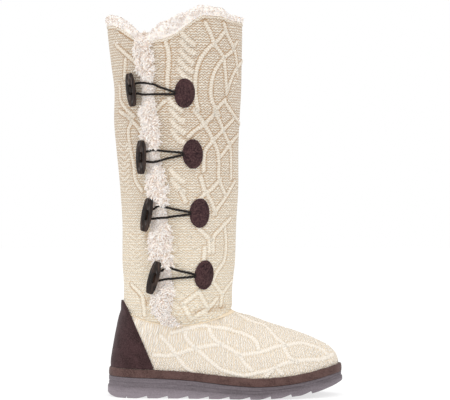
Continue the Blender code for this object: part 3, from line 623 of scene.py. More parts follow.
@dataclass
class CableField:
    """The raised cables of a knit piece, as points and directions along them on the last."""

    last: Last
    points: np.ndarray | None = None
    tangents: np.ndarray | None = None
    along: np.ndarray | None = None
    sizes: np.ndarray | None = None

    def lay(
        self,
        paths: tuple[Route, ...],
        side: Side,
        half_width: float = 2.4 * MM,
        height: float = 1.15 * MM,
        tone: float = 1.0,
    ) -> None:
        """Lay cables over one or both sides.

        Args:
            paths: each cable's places in the side view, in mm.
            side: where they lie.
            half_width: half of their width.
            height: how far they stand out.
            tone: how much they differ from the ground in colour.
        """
        laid = [] if self.points is None else [(self.points, self.tangents, self.along, self.sizes)]
        for path in paths:
            for sign in side.value:
                flat = np.array(path, float) * MM
                lengths = np.linalg.norm(np.diff(flat, axis=0), axis=1)
                if len(flat) == 2:
                    flat, lengths = np.array([flat[0], flat.mean(axis=0), flat[1]]), lengths.repeat(2) / 2
                flat = smooth_path(flat, [max(int(length / (0.6 * MM)), 1) for length in lengths])
                angle = self.last.angle_of(flat[:, 0], flat[:, 1], sign)
                solid = self.last.point(angle, flat[:, 1])
                tangent = unit(np.gradient(solid, axis=0))
                gaps = np.linalg.norm(np.diff(solid, axis=0, prepend=solid[:1]), axis=1)
                size = np.tile((half_width, height, tone), (len(solid), 1))
                laid.append((solid, tangent, np.cumsum(gaps), size))
        self.points, self.tangents, self.along, self.sizes = (np.concatenate(part) for part in zip(*laid))

    def relief(self, surface: np.ndarray, normals: np.ndarray) -> tuple[np.ndarray, np.ndarray, np.ndarray]:
        """Measure the cables' relief over a surface.

        Args:
            surface: points of the surface.
            normals: its normals there.

        Returns:
            The height that the cables add, the share of their tone, and the place on the nearest cable: mm
            along it, across it as a share of its half width, and 1 unless it jumps there.
        """
        tree = KDTree(len(self.points))
        for i, point in enumerate(self.points.tolist()):
            tree.insert(point, i)
        tree.balance()
        flat = surface.reshape(-1, 3)
        nearest = np.array([tree.find(point)[1] for point in flat.tolist()])
        apart = flat - self.points[nearest]
        tangent = self.tangents[nearest]
        run = np.einsum("ij,ij->i", apart, tangent)
        across = np.einsum("ij,ij->i", np.cross(normals.reshape(-1, 3), tangent), apart)
        ends = np.clip(np.abs(run) - 0.6 * MM, 0, None)
        distance = np.hypot(across, ends)
        half_width, full, tone = self.sizes[nearest].T
        crown = np.cos(np.clip(distance / half_width, 0, 1) * math.pi / 2) ** 1.2
        # Beside each cable the ground dips into a shallow trough, whose tone is darkened with painted shade
        beside = np.exp(-(((distance - half_width - 0.5 * MM) / (0.9 * MM)) ** 2))
        share = (crown - 0.25 * beside).reshape(surface.shape[:-1])
        along = ((self.along[nearest] + run) / MM).reshape(share.shape)
        change = np.maximum(np.abs(np.gradient(along, axis=0)), np.abs(np.gradient(along, axis=1)))
        strand = np.stack((along, (across / half_width).reshape(share.shape), change < 2.2), axis=-1)
        return share * full.reshape(share.shape), share * tone.reshape(share.shape), strand


def creased(
    last: Last, paths: tuple[Route, ...], surface: np.ndarray, normals: np.ndarray
) -> tuple[np.ndarray, np.ndarray]:
    """Measure soft creases over a surface.

    Args:
        last: the last that they lie on.
        paths: each crease's places in the side view, in mm.
        surface: points of the surface.
        normals: its normals there.

    Returns:
        The height that they take away, as negative numbers, and their shade, as negative shares.
    """
    field = CableField(last)
    field.lay(paths, Side.BOTH, half_width=4.5 * MM, height=1.0 * MM)
    height, share, _ = field.relief(surface, normals)
    return -height, -0.12 * np.clip(share, 0, 1)


def grid_faces(columns: int, rows: int, closed: bool = False, start: int = 0) -> np.ndarray:
    """Give the faces of a grid of points that is laid out column by column.

    Args:
        columns: how many columns it has.
        rows: how many points a column has.
        closed: whether the last column joins the first.
        start: the grid's first point.

    Returns:
        Four points for each face, turned outwards.
    """
    starts = np.arange(columns if closed else columns - 1)
    here, row = np.meshgrid(starts, np.arange(rows - 1), indexing="ij")
    there = (here + 1) % columns
    corners = (here * rows + row, there * rows + row, there * rows + row + 1, here * rows + row + 1)
    return np.stack(corners, axis=-1).reshape(-1, 4) + start


def ring_faces(stations: int, count: int, closed: bool) -> np.ndarray:
    """Give the faces of a tube whose sections are closed rings.

    Args:
        stations: how many rings it has.
        count: how many points a ring has.
        closed: whether the last ring joins the first.

    Returns:
        Four points for each face.
    """
    i, k = np.meshgrid(np.arange(stations if closed else stations - 1), np.arange(count), indexing="ij")
    there, after = (i + 1) % stations, (k + 1) % count
    corners = (i * count + k, there * count + k, there * count + after, i * count + after)
    return np.stack(corners, axis=-1).reshape(-1, 4)


def make_piece(
    name: str,
    points: np.ndarray,
    faces: np.ndarray,
    finish: bpy.types.Material,
    replaces: tuple[str, ...] = (),
    values: dict[str, np.ndarray] | None = None,
    outward: bool = False,
) -> bpy.types.Object:
    """Make a smooth-shaded piece of the boot.

    Args:
        name: the piece's name.
        points: its points.
        faces: its faces.
        finish: its material.
        replaces: the CAD nodes that it stands for.
        values: three numbers at each point, by name, that the finish reads.
        outward: whether its faces have to be turned outwards.

    Returns:
        The piece.
    """
    mesh = bpy.data.meshes.new(name)
    mesh.from_pydata(points.reshape(-1, 3).tolist(), [], faces.tolist())
    for key, numbers in (values or {}).items():
        held = mesh.attributes.new(key, "FLOAT_VECTOR", "POINT")
        held.data.foreach_set("vector", np.ascontiguousarray(numbers, dtype=np.float32).ravel())
    mesh.shade_smooth()
    mesh.materials.append(finish)
    if outward:
        turn_outward(mesh)
    piece = bpy.data.objects.new(name, mesh)
    bpy.context.scene.collection.objects.link(piece)
    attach(piece, "root")
    if replaces:
        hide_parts(*replaces)
    LOG.info("%s: %d faces", name, len(mesh.polygons))
    return piece


def turn_outward(mesh: bpy.types.Mesh) -> None:
    """Turn a closed mesh's faces outwards, by the sign of its volume.

    Args:
        mesh: the mesh, which is changed.
    """
    corners = np.array([[mesh.vertices[i].co[:] for i in face.vertices[:3]] for face in mesh.polygons])
    volume = np.einsum("ij,ij->i", corners[:, 0], np.cross(corners[:, 1], corners[:, 2])).sum()
    if volume < 0:
        mesh.flip_normals()


def noise(points: np.ndarray, scale: float, seed: int) -> np.ndarray:
    """Give soft bumps, from sums of waves in fixed directions.

    Args:
        points: where to read them.
        scale: about the size of one bump, in metres.
        seed: which set of waves.

    Returns:
        Values from about -1 to 1.
    """
    source = np.random.default_rng(seed)
    total = np.zeros(points.shape[:-1])
    for _ in range(9):
        way = unit(source.normal(size=3)) * source.uniform(0.6, 1.5)
        total += np.sin(points @ way * 2 * math.pi / (2.2 * scale) + source.uniform(0, 6.28))
    return total / 4


@dataclass
class Finish:
    """A material that is being made, with short ways to add the shader nodes that it needs.

    Wherever a node takes a number, it also takes the output of another node.
    """

    name: str

    def __post_init__(self) -> None:
        """Start the material with its surface shader."""
        self.material = bpy.data.materials.new(self.name)
        self.material.use_nodes = True
        self.tree = self.material.node_tree
        self.shader = self.tree.nodes["Principled BSDF"]

    def feed(self, socket: Socket, value: Term) -> None:
        """Give a socket a value, or link an output to it.

        Args:
            socket: the input.
            value: a number, some numbers or a node's output.
        """
        if isinstance(value, Socket):
            self.tree.links.new(value, socket)
        else:
            socket.default_value = value

    def node(
        self, kind: str, inputs: dict[int | str, Term] | None = None, **settings: str | bool
    ) -> bpy.types.NodeOutputs:
        """Add a shader node with its settings, values and links.

        Args:
            kind: the node's type, without its "ShaderNode".
            inputs: what each socket gets, by name or number.
            settings: the node's own settings.

        Returns:
            The node's outputs.
        """
        made = self.tree.nodes.new("ShaderNode" + kind)
        for key, value in settings.items():
            setattr(made, key, value)
        for key, value in (inputs or {}).items():
            self.feed(made.inputs[key], value)
        return made.outputs

    def math(self, operation: str, *terms: Term, clamp: bool = False) -> Socket:
        """Give the result of an operation, kept from 0 to 1 if clamp says so."""
        return self.node("Math", dict(enumerate(terms)), operation=operation, use_clamp=clamp)[0]

    def scaled(self, value: Term, low: float, high: float, start: float = 0.0, end: float = 1.0) -> Socket:
        """Give start where the value is low, end where it is high, and an even run between them."""
        return self.node("MapRange", {0: value, 1: low, 2: high, 3: start, 4: end})[0]

    def between(self, share: Term, start: Term, end: Term) -> Socket:
        """Give the number a share of the way from start to end."""
        return self.node("Mix", {0: share, 2: start, 3: end}, data_type="FLOAT")[0]

    def blend(self, share: Term, start: str | Socket, end: str) -> Socket:
        """Give the colour a share of the way from start to end."""
        start = linear(start) if isinstance(start, str) else start
        return self.node("Mix", {0: share, 6: start, 7: linear(end)}, data_type="RGBA")[2]

    def clouds(self, place: Socket, scale: float, detail: float = 2.0, distortion: float = 0.0) -> Socket:
        """Give soft random values, about this many to a unit of place."""
        inputs = {"Vector": place, "Scale": scale, "Detail": detail, "Distortion": distortion}
        return self.node("TexNoise", inputs)[0]

    def place(self, scale: tuple[float, float, float] = (1.0, 1.0, 1.0)) -> Socket:
        """Give each point's place on the boot, with its three directions scaled."""
        place = self.node("TexCoord")["Object"]
        return place if scale == (1.0, 1.0, 1.0) else self.node("Mapping", {0: place, "Scale": scale})[0]

    def attribute(self, name: str) -> Socket:
        """Give the three numbers that each point of the mesh holds under a name."""
        return self.node("Attribute", attribute_name=name)["Vector"]

    def split(self, vector: Socket) -> bpy.types.NodeOutputs:
        """Give the three numbers of a vector apart."""
        return self.node("SeparateXYZ", {0: vector})

    def relief(self, height: Socket, depth: float, strength: float) -> None:
        """Raise the surface in fine relief, by a depth in metres."""
        bump = self.node("Bump", {"Strength": strength, "Distance": depth, "Height": height})
        self.feed(self.shader.inputs["Normal"], bump[0])

    def done(self, colour: Term, **levels: Term) -> bpy.types.Material:
        """Set the surface shader.

        Args:
            colour: the colour.
            levels: its other values, by name in small letters.

        Returns:
            The material.
        """
        self.feed(self.shader.inputs["Base Color"], colour)
        for name, value in levels.items():
            self.feed(self.shader.inputs[name.replace("_", " ").title().replace("Ior", "IOR")], value)
        return self.material


@dataclass(frozen=True)
class WoolKnit:
    """Cream wool, hand-knitted in reverse stocking stitch with raised cables.

    The purl ground gives rows of small bumps with shade between them; the cables catch the light.
    """

    name: str = "cream_wool_knit"
    yarn: str = "#FAF6EA"
    shade: str = "#A67A47"
    # Painted shade: the colour of the troughs beside the cables, of the creases and of the groove under the
    # hem
    hollow_shade: str = "#B18553"
    # The shade's colour where the lower leg is painted as more brightly lit
    lit_low_leg_shade: str = "#E2C9A5"
    course: float = 2.9  # mm from one row of bumps to the next
    stitch: float = 4.3  # mm from one bump to the next
    chain: float = 3.0  # mm from one stitch of a cable to the next
    # The shade is painted lighter from the first height down to the second, where the lower leg is more
    # brightly lit
    painted_light_start: float = 290.0  # mm above the floor
    painted_light_end: float = 120.0

    def make(self) -> bpy.types.Material:
        """Make the material.

        It reads two attributes. "stitch": mm round, mm along, and the cables' share of relief. "strand": mm
        along the nearest cable, across it as a share of its half width, and 0 where these jump.

        Returns:
            The material.
        """
        knit = Finish(self.name)
        place = knit.attribute("stitch")
        across, along, relief = knit.split(place)
        cable = knit.split(knit.attribute("strand"))
        wobble = knit.clouds(place, 0.3)
        fibre = knit.clouds(place, 1.6, 4.0)
        # Rows of bumps, each bent like a chain of small arcs
        turn = knit.math("MULTIPLY", across, 2 * math.pi / self.stitch)
        sway = knit.math("MULTIPLY", knit.math("SINE", turn), 1.25)
        loose = knit.math("MULTIPLY_ADD", wobble, 7.0, sway)
        row = knit.math("MULTIPLY_ADD", along, 2 * math.pi / self.course, loose)
        # Each second row is set over by half a stitch
        other = knit.math("COSINE", knit.math("MULTIPLY", row, 0.5))
        beat = knit.math("COSINE", knit.math("MULTIPLY_ADD", wobble, 9.0, turn))
        dash = knit.math("MULTIPLY", beat, other)
        ridge = knit.math("MULTIPLY_ADD", dash, 0.6, knit.math("COSINE", row))
        # A cable's stitches lie as a row of open V shapes along it
        lean = knit.math("MULTIPLY", knit.math("ABSOLUTE", cable[1]), -2.6)
        chain = knit.math("MULTIPLY_ADD", cable[0], 2 * math.pi / self.chain, lean)
        calm = knit.math("MULTIPLY", knit.math("COSINE", chain), 0.6)
        raised = knit.scaled(relief, 0.12, 0.5)
        bumps = knit.between(knit.math("MULTIPLY", raised, cable[2]), ridge, calm)
        knit.relief(knit.math("MULTIPLY_ADD", fibre, 1.2, bumps), 0.4 * MM, 1.0)
        # Painted shade: the hollows between the bumps take the shade colour, and the cables' crests keep to
        # the lighter end
        ground = knit.scaled(bumps, -1.4, 0.5, 0.0, 0.78)
        crest = knit.scaled(bumps, -0.6, 0.4, 0.5, 0.78)
        grain = knit.math("MULTIPLY_ADD", fibre, 0.9, knit.between(raised, ground, crest))
        share = knit.math("SUBTRACT", grain, 0.42, clamp=True)
        # Painted light: the shade between the bumps is painted lighter towards the ankle, where the lower
        # leg is more brightly lit
        shade = knit.blend(knit.scaled(along, self.painted_light_start, self.painted_light_end), self.shade, self.lit_low_leg_shade)
        # Painted shade: the troughs beside the cables, the creases and the groove under the hem are darkened
        # towards the trough colour
        deep = knit.scaled(relief, -0.03, -0.25, 0.0, 0.75)
        colour = knit.blend(deep, knit.blend(share, shade, self.yarn), self.hollow_shade)
        return knit.done(
            colour, roughness=0.95, sheen_weight=0.1, sheen_roughness=0.6, specular_ior_level=0.15
        )


@dataclass(frozen=True)
class Fleece:
    """Undyed curly sheep's fleece: near white at the tips, and warmer where the locks shade their roots."""

    name: str = "curly_fleece"
    tip: str = "#F2EDE8"
    root: str = "#E9D7C9"
    # Colour of the fleece's faint painted glow
    glow: str = "#F4E2D4"

    def make(self) -> bpy.types.Material:
        """Make the material; the attribute "lock" gives the share up a lock and its own tint.

        Returns:
            The material.
        """
        pile = Finish(self.name)
        lock = pile.split(pile.attribute("lock"))
        pile.relief(pile.clouds(pile.place(), 420.0, 5.0, 1.2), 0.5 * MM, 0.5)
        rise = pile.math("MULTIPLY_ADD", lock[0], 0.75, 0.1)
        tint = pile.math("MULTIPLY_ADD", lock[1], 0.25, rise, clamp=True)
        # A faint warm painted glow, though the fleece is no lamp, lifts the shade between the locks; it
        # stands in for light scattered through the pile
        return pile.done(
            pile.blend(tint, self.root, self.tip),
            emission_color=linear(self.glow),
            emission_strength=0.09,
            roughness=1.0,
            specular_ior_level=0.1,
            subsurface_weight=0.5,
            subsurface_radius=(1.0, 0.8, 0.65),
            subsurface_scale=3 * MM,
        )


@dataclass(frozen=True)
class FleeceLining:
    """Short sheared fleece inside the boot, seen as soft clumps with warm shade between them."""

    name: str = "sheared_fleece"
    tip: str = "#F4EDE4"
    root: str = "#CDB9A4"
    clump: float = 3.5 * MM

    def make(self) -> bpy.types.Material:
        """Make the material.

        Returns:
            The material.
        """
        pile = Finish(self.name)
        place = pile.place()
        clumps = pile.node("TexVoronoi", {"Vector": place, "Scale": 1 / self.clump}, feature="SMOOTH_F1")[0]
        height = pile.math("MULTIPLY_ADD", clumps, -1.2, pile.clouds(place, 900.0, 4.0))
        pile.relief(height, 1.2 * MM, 0.8)
        colour = pile.blend(pile.scaled(height, -0.6, 0.35), self.root, self.tip)
        return pile.done(colour, roughness=1.0, sheen_weight=0.25)


@dataclass(frozen=True)
class Suede:
    """Brushed split leather: a short nap with light and dark patches where it has been stroked.

    The nap is drawn a millimetre or more across, coarser than the real one, so that it shows at all.
    """

    name: str
    base: str
    stroked: str
    worn: str
    nap: float = 1.0 * MM

    def make(self) -> bpy.types.Material:
        """Make the material.

        Returns:
            The material.
        """
        suede = Finish(self.name)
        place = suede.place()
        stroke = suede.scaled(suede.clouds(place, 75.0, 3.0, 0.8), 0.38, 0.66)
        nap = suede.clouds(place, 1 / self.nap, 3.0)
        suede.relief(nap, 0.25 * MM, 0.5)
        ground = suede.blend(stroke, self.base, self.stroked)
        colour = suede.blend(suede.scaled(nap, 0.4, 0.68, 0.0, 0.75), ground, self.worn)
        return suede.done(
            colour, roughness=0.92, sheen_weight=0.12, sheen_roughness=0.45, specular_ior_level=0.2
        )


@dataclass(frozen=True)
class FoamedRubber:
    """Foamed rubber from a ribbed mould: grey-brown, with level lines along its sides and random pale marks,
    and paler towards the tread and the heel.
    """

    name: str = "foamed_rubber"
    base: str = "#554C51"
    pale: str = "#8A8087"
    rib: float = 2.4 * MM

    def make(self) -> bpy.types.Material:
        """Make the material; it reads the attribute "paleness": how pale the rubber is.

        Returns:
            The material.
        """
        rubber = Finish(self.name)
        place = rubber.place()
        dust = rubber.clouds(place, 900.0, 3.0)
        turn = rubber.math("MULTIPLY", rubber.split(place)[2], 2 * math.pi / self.rib)
        rubber.relief(rubber.math("MULTIPLY_ADD", rubber.math("SINE", turn), 0.25, dust), 0.3 * MM, 0.5)
        streaks = rubber.clouds(rubber.place((40.0, 40.0, 420.0)), 1.0, 4.0)
        streaks = rubber.scaled(streaks, 0.3, 0.7, -0.14, 0.14)
        marks = rubber.math("ADD", streaks, rubber.scaled(dust, 0.35, 0.65, -0.16, 0.16))
        paleness = rubber.split(rubber.attribute("paleness"))[0]
        colour = rubber.blend(rubber.math("ADD", paleness, marks, clamp=True), self.base, self.pale)
        return rubber.done(colour, roughness=0.72, ior=1.52)


@dataclass(frozen=True)
class PolishedHorn:
    """Dark buffalo horn, drilled and polished: near black with brown streaks and a clear gloss."""

    name: str = "polished_horn"
    base: str = "#1A110E"
    streak: str = "#4A382F"

    def make(self) -> bpy.types.Material:
        """Make the material.

        Returns:
            The material.
        """
        horn = Finish(self.name)
        share = horn.scaled(horn.clouds(horn.place((400.0, 400.0, 40.0)), 1.0, 3.0), 0.42, 0.72)
        colour = horn.blend(share, self.base, self.streak)
        return horn.done(colour, roughness=0.2, ior=1.54, specular_ior_level=0.22)


@dataclass(frozen=True)
class WaxedCord:
    """Waxed cotton cord, twisted from three strands: black with a dull shine along the strands."""

    name: str = "waxed_cord"
    base: str = "#0C0908"
    fibre: str = "#241C19"

    def make(self) -> bpy.types.Material:
        """Make the material.

        Returns:
            The material.
        """
        cord = Finish(self.name)
        colour = cord.blend(cord.clouds(cord.place(), 2200.0), self.base, self.fibre)
        return cord.done(colour, roughness=0.55, specular_ior_level=0.2)


@dataclass(frozen=True)
class LightTable:
    """White acrylic sheet, lit evenly from below, which leaves only a faint shadow under the boot."""

    name: str = "light_table"
    base: str = "#A6A6A6"
    lit: str = "#FFFFFF"
    glow: float = 0.66

    def make(self) -> bpy.types.Material:
        """Make the material.

        Returns:
            The material.
        """
        sheet = Finish(self.name)
        glow = sheet.scaled(sheet.clouds(sheet.place(), 6.0), 0.0, 1.0, self.glow, self.glow * 1.02)
        levels = {"emission_color": linear(self.lit), "emission_strength": glow}
        return sheet.done(linear(self.base), roughness=0.9, specular_ior_level=0.0, **levels)


def rimmed(wall: float, angle: np.ndarray, z: np.ndarray, out: np.ndarray) -> tuple[np.ndarray, ...]:
    """Turn a sheet's four edges in, with one rounding row and one row at the wall's depth.

    Args:
        wall: how deep the edges turn in.
        angle: the sheet's angles, by column and row.
        z: its heights.
        out: its distances out from the last.

    Returns:
        The same three with two more rows and columns at each edge.
    """
    wide = [np.pad(part, 2, mode="edge") for part in (angle, z, out)]
    depth = np.zeros(wide[2].shape)
    depth[1, :] = depth[-2, :] = depth[:, 1] = depth[:, -2] = 0.45
    depth[0, :] = depth[-1, :] = depth[:, 0] = depth[:, -1] = 1.0
    return wide[0], wide[1], wide[2] - wall * depth


def widened(values: dict[str, np.ndarray], *rims: tuple[int, int]) -> dict[str, np.ndarray]:
    """Repeat a sheet's outermost values over the columns and rows that its rim adds."""
    return {key: np.pad(part, (*rims, (0, 0)), mode="edge") for key, part in values.items()}


def make_lining(
    name: str, wrap: Wrap, sheet: tuple[np.ndarray, ...], pile: bpy.types.Material, closed: bool = False
) -> None:
    """Make a lining, a wall's thickness inside a knitted sheet.

    Args:
        name: the piece's name.
        wrap: the walls.
        sheet: the sheet's angles, heights and distances out.
        pile: the lining's material.
        closed: whether the last column joins the first.
    """
    angle, z, out = sheet
    points = wrap.last.offset(angle, z, out - wrap.wall)
    make_piece(name, points, grid_faces(*z.shape, closed)[:, ::-1], pile)


@dataclass
class KnitShaft:
    """The knitted leg: one sheet wrapped round, its flap lapped over on the outer side, with its lining."""

    wrap: Wrap
    columns: int = 360
    rows: int = 258
    stretched_below: float = 130 * MM
    stretch_fade: float = 160 * MM
    hem_drop: float = 1.6 * MM
    hem_width: float = 1.5 * MM
    groove_drop: float = 4.2 * MM
    groove_width: float = 0.9 * MM
    yarn_radius: float = 0.9 * MM

    def layout(self, columns: int, rows: int) -> tuple[np.ndarray, np.ndarray, np.ndarray]:
        """Lay out the sheet.

        Args:
            columns: columns round the leg.
            rows: points up each column.

        Returns:
            Angles, heights and distances out, by column and row.
        """
        wrap = self.wrap
        share = np.linspace(0, 1, columns)[:, None]
        foot = mix(wrap.flap_edge(wrap.last.instep_height), wrap.hidden_edge, share)
        low = wrap.last.seam(foot) + wrap.clearance
        high = wrap.collar(mix(wrap.flap_edge(wrap.top), wrap.hidden_edge, share))
        z = mix(low, high, np.linspace(0, 1, rows)[None, :])
        angle = mix(wrap.flap_edge(z), wrap.hidden_edge, share)
        drawn = mix(0.4, 1, smooth_step(0, 12 * MM, z - low))
        return angle, z, drawn * wrap.lap_offset(angle) + wrap.roll(z - low)

    def build(self, knit: bpy.types.Material, lining: bpy.types.Material) -> None:
        """Build the knit and its lining.

        Args:
            knit: the knit's material.
            lining: the lining's.
        """
        last = self.wrap.last
        angle, z, out = self.layout(self.columns, self.rows)
        field = CableField(last)
        field.lay(SHAFT_CABLES, Side.BOTH)
        field.lay(zigzags(), Side.BOTH, half_width=1.7 * MM, height=0.7 * MM, tone=0.45)
        field.lay(OUTER_CABLES, Side.OUTER)
        field.lay(rope(), Side.OUTER, half_width=3.8 * MM, height=1.4 * MM, tone=0.5)
        field.lay(inner_waves(), Side.INNER)
        base = last.point(angle, z)
        height, share, strand = field.relief(base, last.normal(angle, z))
        # The knit is stretched flatter towards the ankle, so its cables stand out less, and their painted
        # highlight and shade are weaker there
        flat = 0.6 + 0.4 * np.clip((z - self.stretched_below) / self.stretch_fade, 0, 1)
        height, share = height * flat, share * flat
        drop, shade = creased(last, SHAFT_CREASES, base, last.normal(angle, z))
        height, share = height + drop, share + shade
        # A low round hem runs along the top edge, with a groove under it that is darkened with painted shade
        below = z[:, -1:] - z
        hem = np.exp(-(((below - self.hem_drop) / self.hem_width) ** 2))
        fold = np.exp(-(((below - self.groove_drop) / self.groove_width) ** 2))
        height = mix(height, 0.7 * MM, hem) - 0.5 * MM * fold + 0.35 * MM * noise(base, 26 * MM, 3)
        share = mix(share, 0.35, hem) - 0.2 * fold
        span = np.linalg.norm(np.diff(base, axis=0, prepend=base[:1]), axis=-1)
        stitch = np.stack((np.cumsum(span, axis=0) / MM, z / MM, share), axis=-1)
        angle, z, out = rimmed(self.wrap.wall, angle, z, out + height)
        values = widened({"stitch": stitch, "strand": strand}, (2, 2), (2, 2))
        points = last.offset(angle, z, out)
        make_piece("shaft_knit", points, grid_faces(*angle.shape), knit, ("shaft",), values)
        make_lining("shaft_lining", self.wrap, self.layout(140, 60), lining)

    def link(self, knit: bpy.types.Material) -> None:
        """Build the yarn that links the shaft to the foot, a thick round strand along the ankle seam.

        Args:
            knit: the yarn's material.
        """
        last = self.wrap.last
        angle = np.linspace(0, 2 * math.pi, 600, endpoint=False)[:, None]
        turn = around(8)[None, :]
        # Two plies are twisted together, which gives 90 ridges in one turn round the leg
        ply = 0.85 + 0.15 * np.cos(2 * turn - angle * 90)
        middle = 0.4 * self.wrap.lap_offset(angle) - self.wrap.seam_pinch + 0.2 * MM
        radius = self.yarn_radius * ply
        z = last.seam(angle) + radius * np.sin(turn)
        points = last.offset(angle + 0 * turn, z, middle + radius * np.cos(turn))
        values = {"stitch": np.full(points.shape, 0.2), "strand": np.zeros(points.shape)}
        faces = ring_faces(600, 8, closed=True)
        make_piece("ankle_link", points, faces, knit, (), values, outward=True)


@dataclass
class KnitFoot:
    """The knitted foot: a ring of columns from the sole up to the ankle seam, with its lining."""

    wrap: Wrap
    columns: int = 500
    rows: int = 150
    axis_height: float = 20 * MM
    radius: float = 45.0  # mm, which turns angles round the foot to lengths

    def layout(self, columns: int, rows: int) -> tuple[np.ndarray, np.ndarray, np.ndarray]:
        """Lay out the foot with even columns round it and even rows up each column.

        Args:
            columns: columns round the foot.
            rows: points up each column.

        Returns:
            Angles, heights and distances out, by column and row.
        """
        last = self.wrap.last
        angles = last.even_angles(42 * MM, columns, 0.15 * MM)
        low = last.feather(angles, self.wrap.clearance)
        high = last.seam(angles) - self.wrap.clearance
        fine = mix(low[:, None], high[:, None], np.linspace(0, 1, 260)[None, :])
        spans = np.linalg.norm(np.diff(last.point(angles[:, None], fine), axis=1), axis=-1)
        z = np.empty((columns, rows))
        for i in range(columns):
            climb = np.concatenate(([0], np.cumsum(spans[i])))
            z[i] = np.interp(np.linspace(0, climb[-1], rows), climb, fine[i])
        angle = np.repeat(angles[:, None], rows, axis=1)
        return angle, z, self.wrap.roll(high[:, None] - z)

    def build(self, knit: bpy.types.Material, lining: bpy.types.Material) -> None:
        """Build the knit and its lining.

        Args:
            knit: the knit's material.
            lining: the lining's.
        """
        last = self.wrap.last
        angle, z, out = self.layout(self.columns, self.rows)
        field = CableField(last)
        field.lay(FOOT_CABLES, Side.BOTH, half_width=2.8 * MM, height=0.85 * MM, tone=0.65)
        base = last.point(angle, z)
        height, share, strand = field.relief(base, last.normal(angle, z))
        drop, shade = creased(last, FOOT_CREASES, base, last.normal(angle, z))
        share = share + shade
        height = height + drop + 0.3 * MM * noise(base, 30 * MM, 5)
        height *= smooth_step(0, 4 * MM, z - z[:, :1])
        along = base[..., 0] / MM
        # Going up, the rows of stitches lean forward over the heel and back over the toe
        lean = np.interp(along, (0, 60, 130, 220), (0.35, 0.2, -0.1, -0.45))
        round_foot = np.arctan2(base[..., 2] - self.axis_height, base[..., 1]) * self.radius
        stitch = np.stack((round_foot, along - lean * (base[..., 2] / MM - 30), share), axis=-1)
        depths = (0.45 * self.wrap.wall, self.wrap.wall)
        rim, top, edge = angle[:, -1], z[:, -1], out[:, -1]
        inner = np.stack([last.offset(rim, top, edge - depth) for depth in depths], axis=1)
        points = np.concatenate((last.offset(angle, z, out + height), inner), axis=1)
        values = widened({"stitch": stitch, "strand": strand}, (0, 0), (0, 2))
        faces = grid_faces(self.columns, self.rows + 2, closed=True)
        make_piece("foot_knit", points, faces, knit, ("upper",), values)
        make_lining("foot_lining", self.wrap, self.layout(200, 40), lining, closed=True)


@dataclass
class Locks:
    """Curly locks of fleece that grow from a base surface."""

    length: float
    radius: float = 1.05 * MM
    tuft: float = 4.5 * MM
    curl: float = 0.9 * MM
    twist: float = 6.5
    droop: float = 0.45
    rings: int = 6
    sides: int = 4
    seed: int = 1

    def build(
        self, roots: np.ndarray, normals: np.ndarray, lengths: np.ndarray, fall: np.ndarray
    ) -> tuple[np.ndarray, np.ndarray, np.ndarray]:
        """Build the locks.

        Args:
            roots: where they grow.
            normals: the surface's normals there.
            lengths: each lock's length, as a share of the full one.
            fall: the direction that they bend over to.

        Returns:
            Points, faces, and the share from root to tip with a tint for each point.
        """
        source = np.random.default_rng(self.seed)
        number = len(roots)
        tuft = np.stack([noise(roots, self.tuft, self.seed + i) for i in range(3)], axis=-1)
        way = unit(normals + 0.8 * tuft + 0.2 * source.normal(size=(number, 3)))
        bend = unit(fall + 0.9 * tuft[:, ::-1] + 0.3 * source.normal(size=(number, 3)))
        side = unit(np.cross(way, bend))
        length = self.length * lengths * (0.85 + 0.3 * noise(roots, self.tuft, self.seed + 7))
        length *= source.uniform(0.8, 1.1, number)
        phase = source.uniform(0, 2 * math.pi, number)
        shares = np.linspace(0, 1, self.rings)
        spine = []
        for share in shares:
            swing = phase + self.twist * share
            spin = np.sin(swing)[:, None] * side + np.cos(swing)[:, None] * bend
            lean = way * (length * share * (1 - 0.4 * share))[:, None]
            sag = bend * (self.droop * length * share**2)[:, None]
            spine.append(roots + lean + sag + self.curl * share**0.7 * spin)
        spine = np.stack(spine, axis=1)
        tangent = unit(np.gradient(spine, axis=1))
        first = unit(np.cross(tangent, side[:, None, :] + 0.3))
        second = np.cross(tangent, first)
        girth = self.radius * np.sqrt(1.02 - shares**2)[None, :, None, None]
        girth = girth * source.uniform(0.7, 1.2, (number, 1, 1, 1))
        points = spine[:, :, None] + ring(first, second, around(self.sides)) * girth
        tube = ring_faces(self.rings, self.sides, closed=False)
        faces = (np.arange(number)[:, None, None] * self.rings * self.sides + tube[None]).reshape(-1, 4)
        tint = source.uniform(0, 1, number)
        values = np.zeros((number, self.rings, self.sides, 3))
        values[..., 0] = shares[None, :, None]
        values[..., 1] = tint[:, None, None]
        return points.reshape(-1, 3), faces, values.reshape(-1, 3)


def scatter(grid: np.ndarray, count: int, seed: int) -> tuple[np.ndarray, np.ndarray, np.ndarray]:
    """Scatter places over a grid of points, by area.

    Args:
        grid: points by column and row.
        count: how many places.
        seed: which set of places.

    Returns:
        The places, the normals there, and their column and row as fractions.
    """
    source = np.random.default_rng(seed)
    across = grid[1:, :-1] - grid[:-1, :-1]
    upward = grid[:-1, 1:] - grid[:-1, :-1]
    normal = np.cross(across, upward)
    area = np.linalg.norm(normal, axis=-1).ravel()
    picked = source.choice(len(area), size=count, p=area / area.sum())
    i, j = np.unravel_index(picked, normal.shape[:2])
    u, v = source.uniform(size=(2, count))
    places = (
        grid[i, j] * ((1 - u) * (1 - v))[:, None]
        + grid[i + 1, j] * (u * (1 - v))[:, None]
        + grid[i, j + 1] * ((1 - u) * v)[:, None]
        + grid[i + 1, j + 1] * (u * v)[:, None]
    )
    return places, unit(normal[i, j]), np.stack((i + u, j + v), axis=-1)


def resample(section: np.ndarray, parts: int) -> np.ndarray:
    """Give a section's rows again with this many smooth parts between each two."""
    return smooth_path(section, [parts] * (len(section) - 1))


